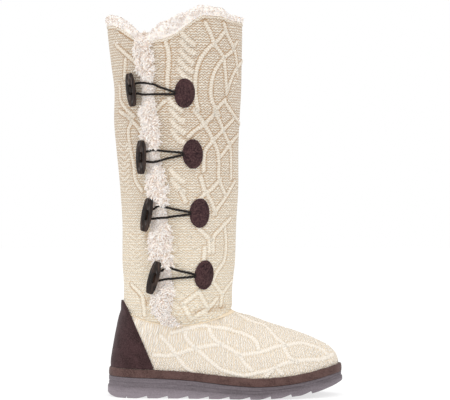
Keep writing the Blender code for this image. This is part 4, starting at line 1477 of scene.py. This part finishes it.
@dataclass(frozen=True)
class Fastening:
    """One toggle with its patch.

    Heights are shares of the shaft's height, and angles and the tilt are in degrees. The lift is how far the
    toggle stands out of the knit, as a share of its thickness. The climb is how much higher than the
    toggle's middle its cord crosses the fleece, as a share of the cord's spread.
    """

    number: int
    toggle_height: float
    toggle_angle: float
    tilt: float
    lift: float
    climb: float
    patch_height: float
    patch_angle: float


FASTENINGS = (
    Fastening(1, 0.765, -130.5, -7, 0.72, 0.10, 0.752, -83.0),
    Fastening(2, 0.534, -121.0, 2, 1.10, 0.07, 0.544, -75.5),
    Fastening(3, 0.336, -118.5, 12, 1.08, 0.21, 0.341, -69.5),
    Fastening(4, 0.122, -111.5, 17, 1.40, 0.34, 0.128, -63.0),
)


@dataclass
class FleeceTrim:
    """The fleece over the knit's top edge and down the flap's free edge: a soft base with locks on it."""

    wrap: Wrap
    rise: float = 15 * MM
    depth: float = 8.5 * MM
    skirt: float = 22 * MM
    strip_depth: float = 6.5 * MM
    base_share: float = 0.72
    collar_locks: int = 4200
    strip_locks: int = 3900

    def collar_grid(self) -> np.ndarray:
        """Give the collar base's points, station by station round the mouth.

        Returns:
            The points.
        """
        # Shares of the reach inwards, of the rise above the knit's edge or drop below it, and of the bumps
        table = (
            *((0.12, -0.45, 0.0), (0.04, 0.10, 0.2), (0.00, 0.36, 0.6)),
            *((0.08, 0.76, 1.0), (0.36, 1.00, 1.0), (0.70, 0.92, 1.0)),
            *((0.98, 0.52, 1.0), (1.03, -0.10, 1.0), (0.62, -1.0, 0.3)),
        )
        section = resample(np.array(table), 3)
        stations = 300
        wrap = self.wrap
        share = np.linspace(0.004, 0.985, stations)
        angle = mix(wrap.flap_edge(wrap.top), wrap.hidden_edge, share)[:, None]
        edge = wrap.collar(angle) + 1.5 * wrap.clearance
        end = np.minimum(np.minimum(np.arange(stations), np.arange(stations)[::-1]) / 12, 1)[:, None]
        degrees = np.degrees(angle)
        rise = self.rise * RIM["rise"](degrees) * mix(0.6, 1, end) * self.base_share
        skirt = self.skirt * RIM["skirt"](degrees)
        up = section[None, :, 1]
        drop = np.where(section[None, :, 0] < 0.2, np.minimum(skirt, 5 * MM), skirt)
        climb = np.where(up > 0, rise * up, drop * up)
        z = edge + climb
        reach = (wrap.wall + self.depth) * 0.94
        rough = wrap.last.point(angle, z)
        bump = (1.3 * noise(rough, 9 * MM, 11) + 0.7 * noise(rough, 4 * MM, 12)) * MM * section[None, :, 2]
        out = wrap.lap_offset(angle) + 0.6 * MM - reach * section[None, :, 0] + bump
        return wrap.last.offset(angle, z + 0.5 * bump, out)

    def freedom(self, z: np.ndarray, span: float) -> np.ndarray:
        """Give 0 where a fastening presses the fleece down, and 1 away from it.

        Args:
            z: heights.
            span: how far from a toggle's middle the fleece is pressed flat.

        Returns:
            The shares.
        """
        heights = self.wrap.last.level(np.array([row.toggle_height for row in FASTENINGS]))
        nearest = np.abs(z[..., None] - heights).min(axis=-1)
        return smooth_step(span, span + 6 * MM, nearest)

    def strip_grid(self) -> tuple[np.ndarray, np.ndarray]:
        """Give the strip base's points down the flap's edge, and how free the fleece stands at each.

        Returns:
            The points by station and row, and a share for each.
        """
        # Shares of the half width across the strip, towards the toe, and of the depth out of the knit
        table = (
            *((1.02, 0.0), (1.0, 0.30), (0.78, 0.78), (0.36, 1.0)),
            *((-0.12, 1.02), (-0.58, 0.84), (-0.92, 0.42), (-0.98, 0.0)),
        )
        section = resample(np.array(table), 3)
        wrap, last = self.wrap, self.wrap.last
        low = float(last.seam(wrap.flap_edge(last.instep_height))) + 2 * wrap.clearance
        high = float(wrap.collar(wrap.flap_edge(wrap.top))) + 4 * MM
        stations = 260
        z = np.linspace(low, high, stations)[:, None] + np.zeros((1, len(section)))
        end = np.minimum(np.minimum(np.arange(stations), np.arange(stations)[::-1] + 8) / 12, 1)[:, None]
        across, deep = section[None, :, 0], section[None, :, 1]
        half = wrap.strip_half(z) * np.where(across > 0, mix(0.45, 1, smooth_step(0, 50 * MM, z - low)), 1)
        free = np.where(across > 0.3, self.freedom(z, 8 * MM), self.freedom(z, 15 * MM))
        depth = mix(wrap.pressed, self.strip_depth, free) * mix(0.5, 1, end) * 0.85
        ground = self.wrap.lap * smooth_step(-0.9, 0.2, across)
        edge = wrap.flap_edge(z)
        rough = last.point(last.shift(edge, z, half * across), z)
        bump = (1.2 * noise(rough, 9 * MM, 21) + 0.7 * noise(rough, 4 * MM, 22)) * MM * mix(0.15, 1, free)
        angle = last.shift(edge, z, half * across + bump * 0.5)
        out = wrap.roll(z - low) + ground + 2 * wrap.clearance + (depth + bump) * deep
        return last.offset(angle, z, out), free

    def build(self, fleece: bpy.types.Material) -> None:
        """Build the collar's and the strip's fleece.

        Args:
            fleece: the material.
        """
        grid = self.collar_grid()
        places, normals, _ = scatter(grid[:, 3:], self.collar_locks, 31)
        fall = np.tile((0.0, 0.0, -0.35), (len(places), 1))
        locks = Locks(8 * MM, seed=32).build(places, -normals, np.ones(len(places)), fall)
        self.join("collar_fleece_locks", grid, locks, fleece, "collar_fleece")
        grid, free = self.strip_grid()
        places, normals, spots = scatter(grid[::-1], self.strip_locks, 41)
        held = free[::-1][spots[:, 0].astype(int), spots[:, 1].astype(int)]
        lengths = mix(0.3, 1, held) * mix(0.55, 1, smooth_step(85 * MM, 125 * MM, places[:, 2]))
        fall = np.tile((0.15, 0.0, -0.5), (len(places), 1))
        locks = Locks(7.5 * MM, seed=42).build(places, -normals, lengths, fall)
        self.join("strip_fleece_locks", grid, locks, fleece, "placket_fleece")

    def join(
        self,
        name: str,
        grid: np.ndarray,
        locks: tuple[np.ndarray, np.ndarray, np.ndarray],
        fleece: bpy.types.Material,
        stands_for: str,
    ) -> None:
        """Make one piece of a base and its locks.

        Args:
            name: the piece's name.
            grid: the base's points by station and row.
            locks: the locks' points and faces, and the share and tint at each point.
            fleece: the material.
            stands_for: the CAD node that the piece replaces.
        """
        points, faces, values = locks
        base = grid.reshape(-1, 3)
        faces = np.concatenate((faces, grid_faces(*grid.shape[:2], start=len(points))[:, ::-1]))
        values = np.concatenate((values, np.tile((0.6, 0.5, 0.0), (len(base), 1))))
        points = np.concatenate((points, base))
        make_piece(name, points, faces, fleece, (stands_for,), {"lock": values})


@dataclass
class Closure:
    """A horn toggle, its cord loop and the oval patch that holds the loop's ends."""

    wrap: Wrap
    row: Fastening
    length: float = 37 * MM
    width: float = 12.5 * MM
    thickness: float = 6.5 * MM
    hole_spacing: float = 9.2 * MM
    hole: float = 4.6 * MM
    cord: float = 2.5 * MM
    spread: float = 13.5 * MM
    patch_width: float = 21.5 * MM
    patch_height: float = 32 * MM
    patch_thickness: float = 1.8 * MM

    def frame(self) -> tuple[np.ndarray, np.ndarray, np.ndarray, np.ndarray]:
        """Give the toggle's centre and the directions out of the boot, to the toe and up its length.

        Returns:
            The centre and the three directions.
        """
        last = self.wrap.last
        z = last.level(self.row.toggle_height)
        angle = math.radians(self.row.toggle_angle)
        out = last.normal(angle, z)
        across = unit(last.point(angle + 0.03, z) - last.point(angle - 0.03, z))
        up = np.cross(out, across)
        cosine, sine = math.cos(math.radians(self.row.tilt)), math.sin(math.radians(self.row.tilt))
        up, across = up * cosine + across * sine, across * cosine - up * sine
        return last.point(angle, z) + out * self.thickness * (self.row.lift + 0.5), out, across, up

    def local(self, out: float, across: float, up: float) -> np.ndarray:
        """Give a point in the toggle's own directions."""
        centre, way_out, way_across, way_up = self.frame()
        return centre + way_out * out + way_across * across + way_up * up

    def build_toggle(self, horn: bpy.types.Material) -> None:
        """Build the toggle: a flattened barrel with a scooped face and two holes.

        Args:
            horn: the material.
        """
        centre, way_out, way_across, way_up = self.frame()
        sides, steps = 36, 54
        lean = np.linspace(-math.pi / 2, math.pi / 2, steps)
        along = np.sign(np.sin(lean)) * np.abs(np.sin(lean)) ** 0.82
        # The width at shares of the half length: the ends are rounded off
        stops = (0, 0.30, 0.60, 0.85, 0.95, 0.985, 1.0)
        taper = np.interp(np.abs(along), stops, (1, 0.97, 0.88, 0.74, 0.63, 0.5, 0.0))
        turn = around(sides)[None, :]
        out = np.sign(np.cos(turn)) * np.abs(np.cos(turn)) ** 0.85 * self.thickness / 2 * taper[:, None]
        across = np.sin(turn) * self.width / 2 * taper[:, None]
        scoop = smooth_step(0, 0.5, np.cos(turn)) * np.exp(-((np.abs(along)[:, None] / 0.66) ** 6))
        out = out - 1.0 * MM * scoop * np.exp(-((across / (2.6 * MM)) ** 4))
        up = along[:, None] * self.length / 2 + 0 * turn
        points = centre + out[..., None] * way_out + across[..., None] * way_across + up[..., None] * way_up
        name = f"horn_toggle_{self.row.number}"
        faces = ring_faces(steps, sides, closed=False)
        piece = make_piece(name, points, faces, horn, (f"toggle_{self.row.number}",), outward=True)
        self.drill(piece)

    def drill(self, piece: bpy.types.Object) -> None:
        """Cut the toggle's two holes, with the cutters made and taken away here.

        Args:
            piece: the toggle, whose mesh is changed.
        """
        turn = around(20)
        # Distances out of the toggle's middle, in mm, and the holes' widening there
        steps = ((-6, 1.0), (0.7, 1.0), (2.2, 1.35), (6, 1.9))
        count = len(turn)
        walls = ring_faces(len(steps), count, closed=False).tolist()
        caps = [list(range(count)), list(range((len(steps) - 1) * count, len(steps) * count))[::-1]]
        bits = []
        for middle in (-self.hole_spacing / 2, self.hole_spacing / 2):
            points = []
            for out, wide in steps:
                radius = self.hole / 2 * wide
                for t in turn:
                    points.append(self.local(out * MM, math.cos(t) * radius, middle + math.sin(t) * radius))
            mesh = bpy.data.meshes.new("bit")
            mesh.from_pydata(np.array(points).tolist(), [], walls + caps)
            turn_outward(mesh)
            bit = bpy.data.objects.new("bit", mesh)
            bpy.context.scene.collection.objects.link(bit)
            cut = piece.modifiers.new("hole", "BOOLEAN")
            cut.operation, cut.solver, cut.object = "DIFFERENCE", "EXACT", bit
            bits.append(bit)
        graph = bpy.context.evaluated_depsgraph_get()
        drilled = bpy.data.meshes.new_from_object(piece.evaluated_get(graph))
        piece.modifiers.clear()
        piece.data = drilled
        drilled.set_sharp_from_angle(angle=math.radians(50))
        for bit in bits:
            bpy.data.objects.remove(bit)

    def strand(self, side: int) -> list[np.ndarray]:
        """Give half of the loop, from the patch over the fleece and behind the toggle through a hole.

        Args:
            side: 1 for the upper half and -1 for the lower.

        Returns:
            Points along its middle.
        """
        wrap, last, row = self.wrap, self.wrap.last, self.row
        gap, radius = wrap.clearance, self.cord / 2
        patch_z, toggle_z = last.level(row.patch_height), last.level(row.toggle_height)
        start = last.shift(math.radians(row.patch_angle), patch_z, -self.patch_width / 2 - gap * 2)
        edge = wrap.flap_edge(toggle_z)
        toggle = last.point(math.radians(row.toggle_angle), toggle_z)
        reach = np.linalg.norm(last.point(edge, toggle_z) - toggle)
        over = wrap.lap + wrap.pressed + 3 * gap + radius
        start_z = patch_z + side * (radius + gap / 2)
        end_z = toggle_z + self.spread * (side / 2 + row.climb)
        half = wrap.strip_half(toggle_z)
        front = last.shift(edge, toggle_z, half)
        rear = last.shift(edge, toggle_z, max(self.width * 0.9 - reach, -half * 0.5))
        points = [last.offset(start, start_z, wrap.lap_offset(start) + radius + 2 * gap)]
        for share in (0.35, 0.7):
            angle = mix(start, front, share)
            z = mix(start_z, end_z, share * 0.7)
            out = mix(wrap.lap_offset(angle) + radius + 2 * gap, over, share)
            points.append(last.offset(angle, z, out))
        points.append(last.offset(front, mix(start_z, end_z, 0.78), over))
        points.append(last.offset(rear, mix(start_z, end_z, 0.95), over))
        behind = -self.thickness / 2 - radius - 1.5 * gap
        hole = side * self.hole_spacing / 2
        arrival = self.spread * (side * 0.44 + row.climb)
        # Places out of the toggle's middle, across it and up it: behind it, then in and out by a hole
        passage = (
            (behind, self.width * 0.45, mix(arrival, hole, 0.2)),
            (behind, self.width * 0.20, mix(arrival, hole, 0.6)),
            (behind * 0.93, radius * 0.5, hole),
            (behind * 0.50, 0, hole),
            (-behind * 0.50, 0, hole),
            (-behind * 0.88, 0, hole * 0.98),
            (-behind * 1.06, 0, hole * 0.55),
        )
        return points + [self.local(*place) for place in passage]

    def build_loop(self, cord: bpy.types.Material) -> None:
        """Build the cord: three strands twisted together, along the loop.

        Args:
            cord: the material.
        """
        top, bottom = self.strand(1), self.strand(-1)
        route = np.array(top + bottom[::-1])
        # Both ends run on a little way under the patch
        start, end = route[:1] * 1.25 - route[1:2] * 0.25, route[-1:] * 1.25 - route[-2:-1] * 0.25
        route = np.concatenate((start, route, end))
        gaps = np.linalg.norm(np.diff(route, axis=0), axis=1)
        path = smooth_path(route, [max(round(gap / (0.7 * MM)), 2) for gap in gaps])
        tangent = unit(np.gradient(path, axis=0))
        first = [unit(np.cross(tangent[0], (0.0, 0.0, 1.0)))]
        for way in tangent[1:]:
            first.append(unit(first[-1] - way * np.dot(first[-1], way)))
        first = np.array(first)
        second = np.cross(tangent, first)
        along = np.cumsum(np.linalg.norm(np.diff(path, axis=0, prepend=path[:1]), axis=1))[:, None]
        turn = around(12)
        girth = self.cord / 2 * (0.99 + 0.09 * np.cos(3 * turn - 2 * math.pi * along / (4.5 * MM)))
        points = path[:, None] + ring(first, second, turn) * girth[..., None]
        name, stands_for = f"twisted_cord_{self.row.number}", f"cord_loop_{self.row.number}"
        faces = ring_faces(len(path), 12, closed=False)
        make_piece(name, points, faces, cord, (stands_for,), outward=True)

    def build_patch(self, suede: bpy.types.Material, thread: bpy.types.Material) -> None:
        """Build the oval patch with its turned edge and its row of stitches.

        Args:
            suede: the patch's material.
            thread: the stitches' material.
        """
        wrap, last = self.wrap, self.wrap.last
        middle = last.level(self.row.patch_height)
        centre = math.radians(self.row.patch_angle)
        turn = around(72)[:, None]
        # From the edge to the middle: shares of the half width, then of the thickness; row 7 is the groove
        share = (1.0, 1.005, 1.0, 0.985, 0.955, 0.90, 0.84, 0.79, 0.74, 0.6, 0.4, 0.2, 0.0)
        rise = (0.0, 0.25, 0.55, 0.8, 0.97, 1.02, 0.97, 0.84, 0.97, 1.08, 1.12, 1.14, 1.15)
        groove = 7
        share, out = np.array(share)[None, :], np.array(rise)[None, :] * self.patch_thickness
        z = middle + self.patch_height / 2 * share * np.sin(turn)
        angle = last.shift(centre, z, self.patch_width / 2 * share * np.cos(turn))
        wave = 0.12 * MM * noise(last.point(angle, z), 7 * MM, 50 + self.row.number)
        out = wrap.lap_offset(angle) + 2 * wrap.clearance + out + wave * (share < 0.9)
        points = last.offset(angle, z, out)
        name = f"oval_patch_{self.row.number}"
        faces = grid_faces(*z.shape, closed=True)
        make_piece(name, points, faces, suede, (f"patch_{self.row.number}",))
        path, away = points[:, groove], last.normal(angle[:, groove], z[:, groove])
        path, away = np.concatenate((path, path[:1])), np.concatenate((away, away[:1]))
        sew(f"patch_stitches_{self.row.number}", path, away, thread)


def sew(
    name: str,
    path: np.ndarray,
    out: np.ndarray,
    thread: bpy.types.Material,
    pitch: float = 3.1 * MM,
    radius: float = 0.32 * MM,
) -> None:
    """Sew a row of stitches along a path.

    Args:
        name: the row's name.
        path: points along it.
        out: directions out of the surface there.
        thread: the thread's material.
        pitch: distance from one stitch to the next.
        radius: half the thread's thickness.
    """
    gaps = np.linalg.norm(np.diff(path, axis=0), axis=1)
    places = np.concatenate(([0], np.cumsum(gaps)))
    count = max(int(places[-1] / pitch), 1)
    points, faces = [], []
    turn = around(6)
    arch = np.sin(np.linspace(0, math.pi, 6))
    for i in range(count):
        spots = (i + np.linspace(0.14, 0.86, 6)) * places[-1] / count
        spine = np.stack([np.interp(spots, places, path[:, k]) for k in range(3)], axis=-1)
        up = unit(np.stack([np.interp(spots, places, out[:, k]) for k in range(3)], axis=-1))
        spine = spine + up * (radius * (1.2 * arch - 0.5))[:, None]
        across = unit(np.cross(unit(np.gradient(spine, axis=0)), up))
        thick = radius * (0.35 + 0.65 * arch)
        faces.append(ring_faces(6, 6, closed=False) + i * 36)
        points.append((spine[:, None] + ring(across, up, turn) * thick[:, None, None]).reshape(-1, 3))
    make_piece(name, np.concatenate(points), np.concatenate(faces), thread)


@dataclass
class HeelCounter:
    """The triangular suede piece over the heel, with its stitched edges."""

    wrap: Wrap
    height: float = 106 * MM
    reach: float = 47 * MM
    wall: float = 1.6 * MM
    rand_height: float = 9 * MM
    stitch_inset: float = 2.6 * MM

    def reach_at(self, z: np.ndarray) -> np.ndarray:
        """Give the angle from the back to the counter's edge at each height.

        Args:
            z: heights.

        Returns:
            The angles.
        """
        last = self.wrap.last
        low = last.heel_thickness + self.rand_height
        share = np.clip((self.height - z) / (self.height - low), 0, 1)
        tip = float(last.section(self.height)[0])
        edge = mix(tip, self.reach - last.heel_setback, share**0.84)
        near, far = np.zeros(z.shape), np.full(z.shape, math.pi / 2)
        turn = halve(near, far, lambda turn: last.point(math.pi - turn, z)[..., 0] < edge)
        return np.maximum(turn, math.radians(2))

    def build(self, suede: bpy.types.Material, thread: bpy.types.Material) -> None:
        """Build the counter and its stitches.

        Args:
            suede: the counter's material.
            thread: the stitches' material.
        """
        last = self.wrap.last
        gap = self.wrap.clearance
        share = np.linspace(0, 1, 90)[None, :]
        reach = self.reach_at(mix(last.heel_thickness + self.rand_height, self.height, share))
        angle = math.pi + reach * np.linspace(-1, 1, 80)[:, None]
        low = last.sole_top(last.point(angle, last.heel_thickness)[..., 0]) + self.rand_height + 3 * gap
        z = mix(low, self.height, share)
        base = last.point(angle, z)
        uneven = 0.18 * MM * noise(base, 12 * MM, 61) + 0.07 * MM * noise(base, 4 * MM, 62)
        out = 2.5 * gap + self.wall + uneven
        # The stitches lie in a groove along each edge, and the edge itself is rounded
        for column in (0, -1):
            away = np.linalg.norm(base - base[column][None, :], axis=-1)
            out = out - 0.5 * MM * np.exp(-(((away - self.stitch_inset) / (0.7 * MM)) ** 2))
            out = out - 0.7 * MM * (1 - smooth_step(0, 1.2 * MM, away))
        points = last.offset(*rimmed(self.wall, angle, z, out))
        faces = grid_faces(*points.shape[:2])
        make_piece("suede_counter", points, faces, suede, ("heel_counter",))
        for number, (column, inset) in enumerate(((0, self.stitch_inset), (-1, -self.stitch_inset))):
            line, height = last.shift(angle[column], z[column], inset)[2:-9], z[column][2:-9]
            path = last.offset(line, height, np.full(len(line), 2.5 * gap + self.wall - 0.25 * MM))
            sew(f"counter_stitches_{number}", path, last.normal(line, height), thread)


@dataclass
class Rand:
    """The nubuck band round the sole's edge, with a rolled top."""

    wrap: Wrap
    height: float = 9 * MM
    thickness: float = 3.7 * MM
    columns: int = 420

    def build(self, nubuck: bpy.types.Material) -> None:
        """Build the band.

        Args:
            nubuck: the material.
        """
        last, gap = self.wrap.last, self.wrap.clearance
        angles = last.even_angles(30 * MM, self.columns)
        low = last.feather(angles, 1.5 * gap)
        section = tuple(np.asarray(part) for part in last.section(low))
        # Shares of the thickness and the height, from the foot up and over the rolled top
        profile = (
            *((0.96, 0.0), (1.02, 0.10), (1.05, 0.30), (1.04, 0.50), (1.0, 0.66)),
            *((0.96, 0.80), (0.86, 0.92), (0.70, 1.0), (0.52, 1.03)),
        )
        rings = []
        for out, up in profile:
            flat = last.plan(section, angles, gap + self.thickness * out)
            rough = np.concatenate((flat, low[:, None] + self.height * up), axis=-1)
            uneven = 0.2 * MM * noise(rough, 8 * MM, 71) * (up > 0.5)
            z = last.sole_top(flat[:, 0]) + 1.5 * gap + self.height * up + uneven
            rings.append(np.concatenate((flat, z[:, None]), axis=-1))
        for up in (0.94, 0.5, 0.0):
            rings.append(last.offset(angles, low + self.height * up, np.full(len(angles), 1.5 * gap)))
        points = np.stack(rings, axis=1)
        faces = ring_faces(self.columns, len(rings), closed=True)
        make_piece("nubuck_rand", points, faces, nubuck, ("rand",), outward=True)


@dataclass
class Outsole:
    """The ripple sole: two tiers with a step between them, over a tread of sloping teeth."""

    wrap: Wrap
    margin: float = 5.3 * MM
    step: float = 1.2 * MM
    pitch: float = 22.6 * MM
    tooth: float = 2.8 * MM
    land: float = 10.5 * MM
    wall_run: float = 0.8 * MM
    first: float = -7.4 * MM
    bevel_length: float = 13 * MM
    bevel_rise: float = 4 * MM

    def stops(self, back: float, front: float) -> np.ndarray:
        """Give the places along the sole of its columns: at each tooth's corners and between them.

        Args:
            back: where the sole ends at the heel.
            front: where it ends at the toe.

        Returns:
            The places.
        """
        stops = [self.first - 3 * self.wall_run]
        wall = self.first
        while wall < front - self.pitch:
            stops += [wall - self.wall_run, wall, wall + self.land]
            wall += self.pitch
        stops = [place for place in stops if back < place < front]
        fill = back + (front - back) * (1 - np.cos(np.linspace(0.04, math.pi - 0.04, 190))) / 2
        fill = [place for place in fill if min(abs(place - stop) for stop in stops) > 0.5 * MM]
        return np.array(sorted(stops + fill))

    def tooth_rise(self, x: np.ndarray, back: float, front: float) -> np.ndarray:
        """Give how far the tread stands back from the tips of its teeth.

        Args:
            x: places along the sole.
            back: where it ends at the heel.
            front: where it ends at the toe.

        Returns:
            The distances up from the tips.
        """
        near = np.clip((back + self.bevel_length - x) / self.bevel_length, 0, 1)
        slit = np.where(x > self.first - 1.5 * self.wall_run, self.tooth, 0.0)
        heel = self.bevel_rise * near * near + slit
        place = (x - self.first + self.wall_run / 2) % self.pitch - self.wall_run / 2
        number = np.floor((x - self.first + self.wall_run / 2) / self.pitch)
        run = self.pitch - self.wall_run - self.land
        rise = self.tooth * np.clip((place - self.land) / run, 0, 1) ** 1.2
        rise = np.where(self.first + (number + 2) * self.pitch > front, 0.0, rise)
        return np.where(x < self.first - self.wall_run / 2, heel, rise)

    def build(self, rubber: bpy.types.Material) -> None:
        """Build the outsole.

        Args:
            rubber: the material.
        """
        last = self.wrap.last
        section = last.section(last.ball_thickness)
        back, front = float(section[0]) - self.margin, float(section[1]) + self.margin
        stops = self.stops(back, front)
        half = np.arccos(2 * (stops - back) / (front - back) - 1)
        angles = np.concatenate((half, -half[::-1]))
        level = back + (front - back) * (1 + np.cos(angles)) / 2
        along = (level + last.heel_setback) / last.foot_length
        top = last.sole_top(level)
        tread = last.toe_spring * SOLE["rocker"](along)
        tier = mix(tread, top, SOLE["tier"](along))
        tip = tread + self.tooth_rise(level, back, front)
        inset = self.margin - self.step
        # Each ring's margin outside the last and its height, from the foot's side down to the tread
        rings = (
            (inset - 0.6 * MM, top),
            (inset, top - 0.6 * MM),
            (inset, mix(top, tier, 0.45)),
            (inset - 0.5 * MM, mix(top, tier, 0.53)),
            (inset, mix(top, tier, 0.61)),
            (inset, tier + self.step / 2),
            (self.margin - 0.3 * MM, tier - 0.1 * MM),
            (self.margin, tier - self.step / 2 - 0.3 * MM),
            (self.margin, mix(tier, tip, 0.55)),
            (self.margin, tip + 0.7 * MM),
            (self.margin - 0.5 * MM, tip),
        )
        points = []
        for margin, height in rings:
            flat = last.plan(section, angles, margin)
            points.append(np.concatenate((flat, height[:, None]), axis=-1))
        count = len(angles)
        faces = ring_faces(len(rings), count, closed=False)
        caps = []
        for base in (0, (len(rings) - 1) * count):
            for i in range(len(half) - 1):
                other = count - 1 - i
                caps.append((base + i, base + i + 1, base + other - 1, base + other))
        faces = np.concatenate((faces, caps))
        # The lower tier is paler than the upper one, and the heel paler than the toe
        paleness = np.zeros((len(rings), count, 3))
        paleness[..., 0] = np.array((0.3,) * 6 + (0.35, 0.55, 0.85, 1.0, 1.0))[:, None]
        paleness[..., 0] *= mix(1.0, 0.62, smooth_step(0.25, 0.7, along))
        points, values = np.array(points), {"paleness": paleness}
        mesh = make_piece("ripple_sole", points, faces, rubber, ("outsole",), values).data
        fix_normals(mesh)
        mesh.set_sharp_from_angle(angle=math.radians(32))


def fix_normals(mesh: bpy.types.Mesh) -> None:
    """Make a closed mesh's faces agree and turn them outwards.

    Args:
        mesh: the mesh, which is changed.
    """
    grid = bmesh.new()
    grid.from_mesh(mesh)
    bmesh.ops.recalc_face_normals(grid, faces=grid.faces)
    grid.to_mesh(mesh)
    grid.free()


@dataclass
class Studio:
    """The floor, the lights and the camera."""

    middle: tuple[float, float, float] = (0.1002, 0.0, 0.2173)
    distance: float = 2.0
    seen_width: float = 0.50175
    sensor: float = 36.0  # mm

    def build(self, table: bpy.types.Material) -> None:
        """Build the studio.

        Args:
            table: the floor's material.
        """
        mesh = bpy.data.meshes.new("floor")
        mesh.from_pydata([(-6, -6, 0), (6, -6, 0), (6, 6, 0), (-6, 6, 0)], [], [(0, 1, 2, 3)])
        mesh.materials.append(table)
        floor = bpy.data.objects.new("floor", mesh)
        bpy.context.scene.collection.objects.link(floor)
        self.light("strip", (-1.7, -1.2, 0.6), wide=0.24, high=1.1, power=6)
        self.light("top", (0.3, -0.7, 1.9), wide=1.0, high=1.0, power=5)
        self.light("fill", (1.5, -1.6, 0.9), wide=1.2, high=1.2, power=2)
        self.light("back", (0.2, 1.8, 1.6), wide=1.4, high=1.4, power=3)
        world = bpy.data.worlds.new("studio")
        bpy.context.scene.world = world
        world.use_nodes = True
        sky = world.node_tree.nodes["Background"]
        sky.inputs[0].default_value = (1.0, 1.0, 1.0, 1.0)
        sky.inputs[1].default_value = 1.0
        camera = bpy.data.cameras.new("camera")
        camera.sensor_width = self.sensor
        camera.lens = self.sensor * self.distance / self.seen_width
        holder = bpy.data.objects.new("camera", camera)
        holder.location = (self.middle[0], -self.distance, self.middle[2])
        holder.rotation_euler = (math.pi / 2, 0, 0)
        bpy.context.scene.collection.objects.link(holder)
        bpy.context.scene.camera = holder
        bpy.context.scene.view_settings.view_transform = "Standard"

    def light(
        self, name: str, place: tuple[float, float, float], wide: float, high: float, power: float
    ) -> None:
        """Add one soft light that looks at the boot's middle.

        Args:
            name: its name.
            place: where it stands.
            wide: its width.
            high: its height.
            power: its power, in watts.
        """
        lamp = bpy.data.lights.new(name, "AREA")
        lamp.shape = "RECTANGLE"
        lamp.size = wide
        lamp.size_y = high
        lamp.energy = power
        holder = bpy.data.objects.new(name, lamp)
        holder.location = place
        way = Vector(self.middle) - Vector(place)
        holder.rotation_euler = way.to_track_quat("-Z", "Y").to_euler()
        bpy.context.scene.collection.objects.link(holder)


def main() -> None:
    """Load the frame, build the boot's pieces in order and set the studio."""
    logging.basicConfig(level=logging.INFO, format="%(message)s")
    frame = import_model()
    knit = WoolKnit().make()
    # The foot's knit is a lighter, lower-contrast copy of the leg's: partly the knit is stretched flatter
    # over the last, partly it is painted light where the foot's top faces up into the lights
    lit_stretched_knit = WoolKnit("stretched_lit_wool_knit", "#FAF6EF", "#E8D2B3", "#ECDAC0", "#E8D2B3").make()
    fleece = Fleece().make()
    lining = FleeceLining().make()
    suede = Suede("brown_suede", "#2B1A1B", "#3E292B", "#503A3B").make()
    nubuck = Suede("brown_nubuck", "#432F2D", "#59423F", "#705852").make()
    patch_suede = Suede("dark_suede", "#26151A", "#3B2529", "#5C4341", 1.7 * MM).make()
    thread = WaxedCord("brown_thread", "#2A1F1D", "#44352F").make()
    rubber = FoamedRubber().make()
    horn = PolishedHorn().make()
    cord = WaxedCord().make()
    wrap = Wrap()
    shaft = KnitShaft(wrap)
    shaft.build(knit, lining)
    shaft.link(knit)
    KnitFoot(wrap).build(lit_stretched_knit, lining)
    FleeceTrim(wrap).build(fleece)
    HeelCounter(wrap).build(suede, thread)
    Rand(wrap).build(nubuck)
    Outsole(wrap).build(rubber)
    for row in FASTENINGS:
        closure = Closure(wrap, row)
        closure.build_toggle(horn)
        closure.build_loop(cord)
        closure.build_patch(patch_suede, thread)
    # The insole stays the CAD model's solid, covered with the lining's fleece
    frame["nodes"]["insole"].data.materials[0] = lining
    Studio().build(LightTable().make())


if __name__ == "__main__":
    main()
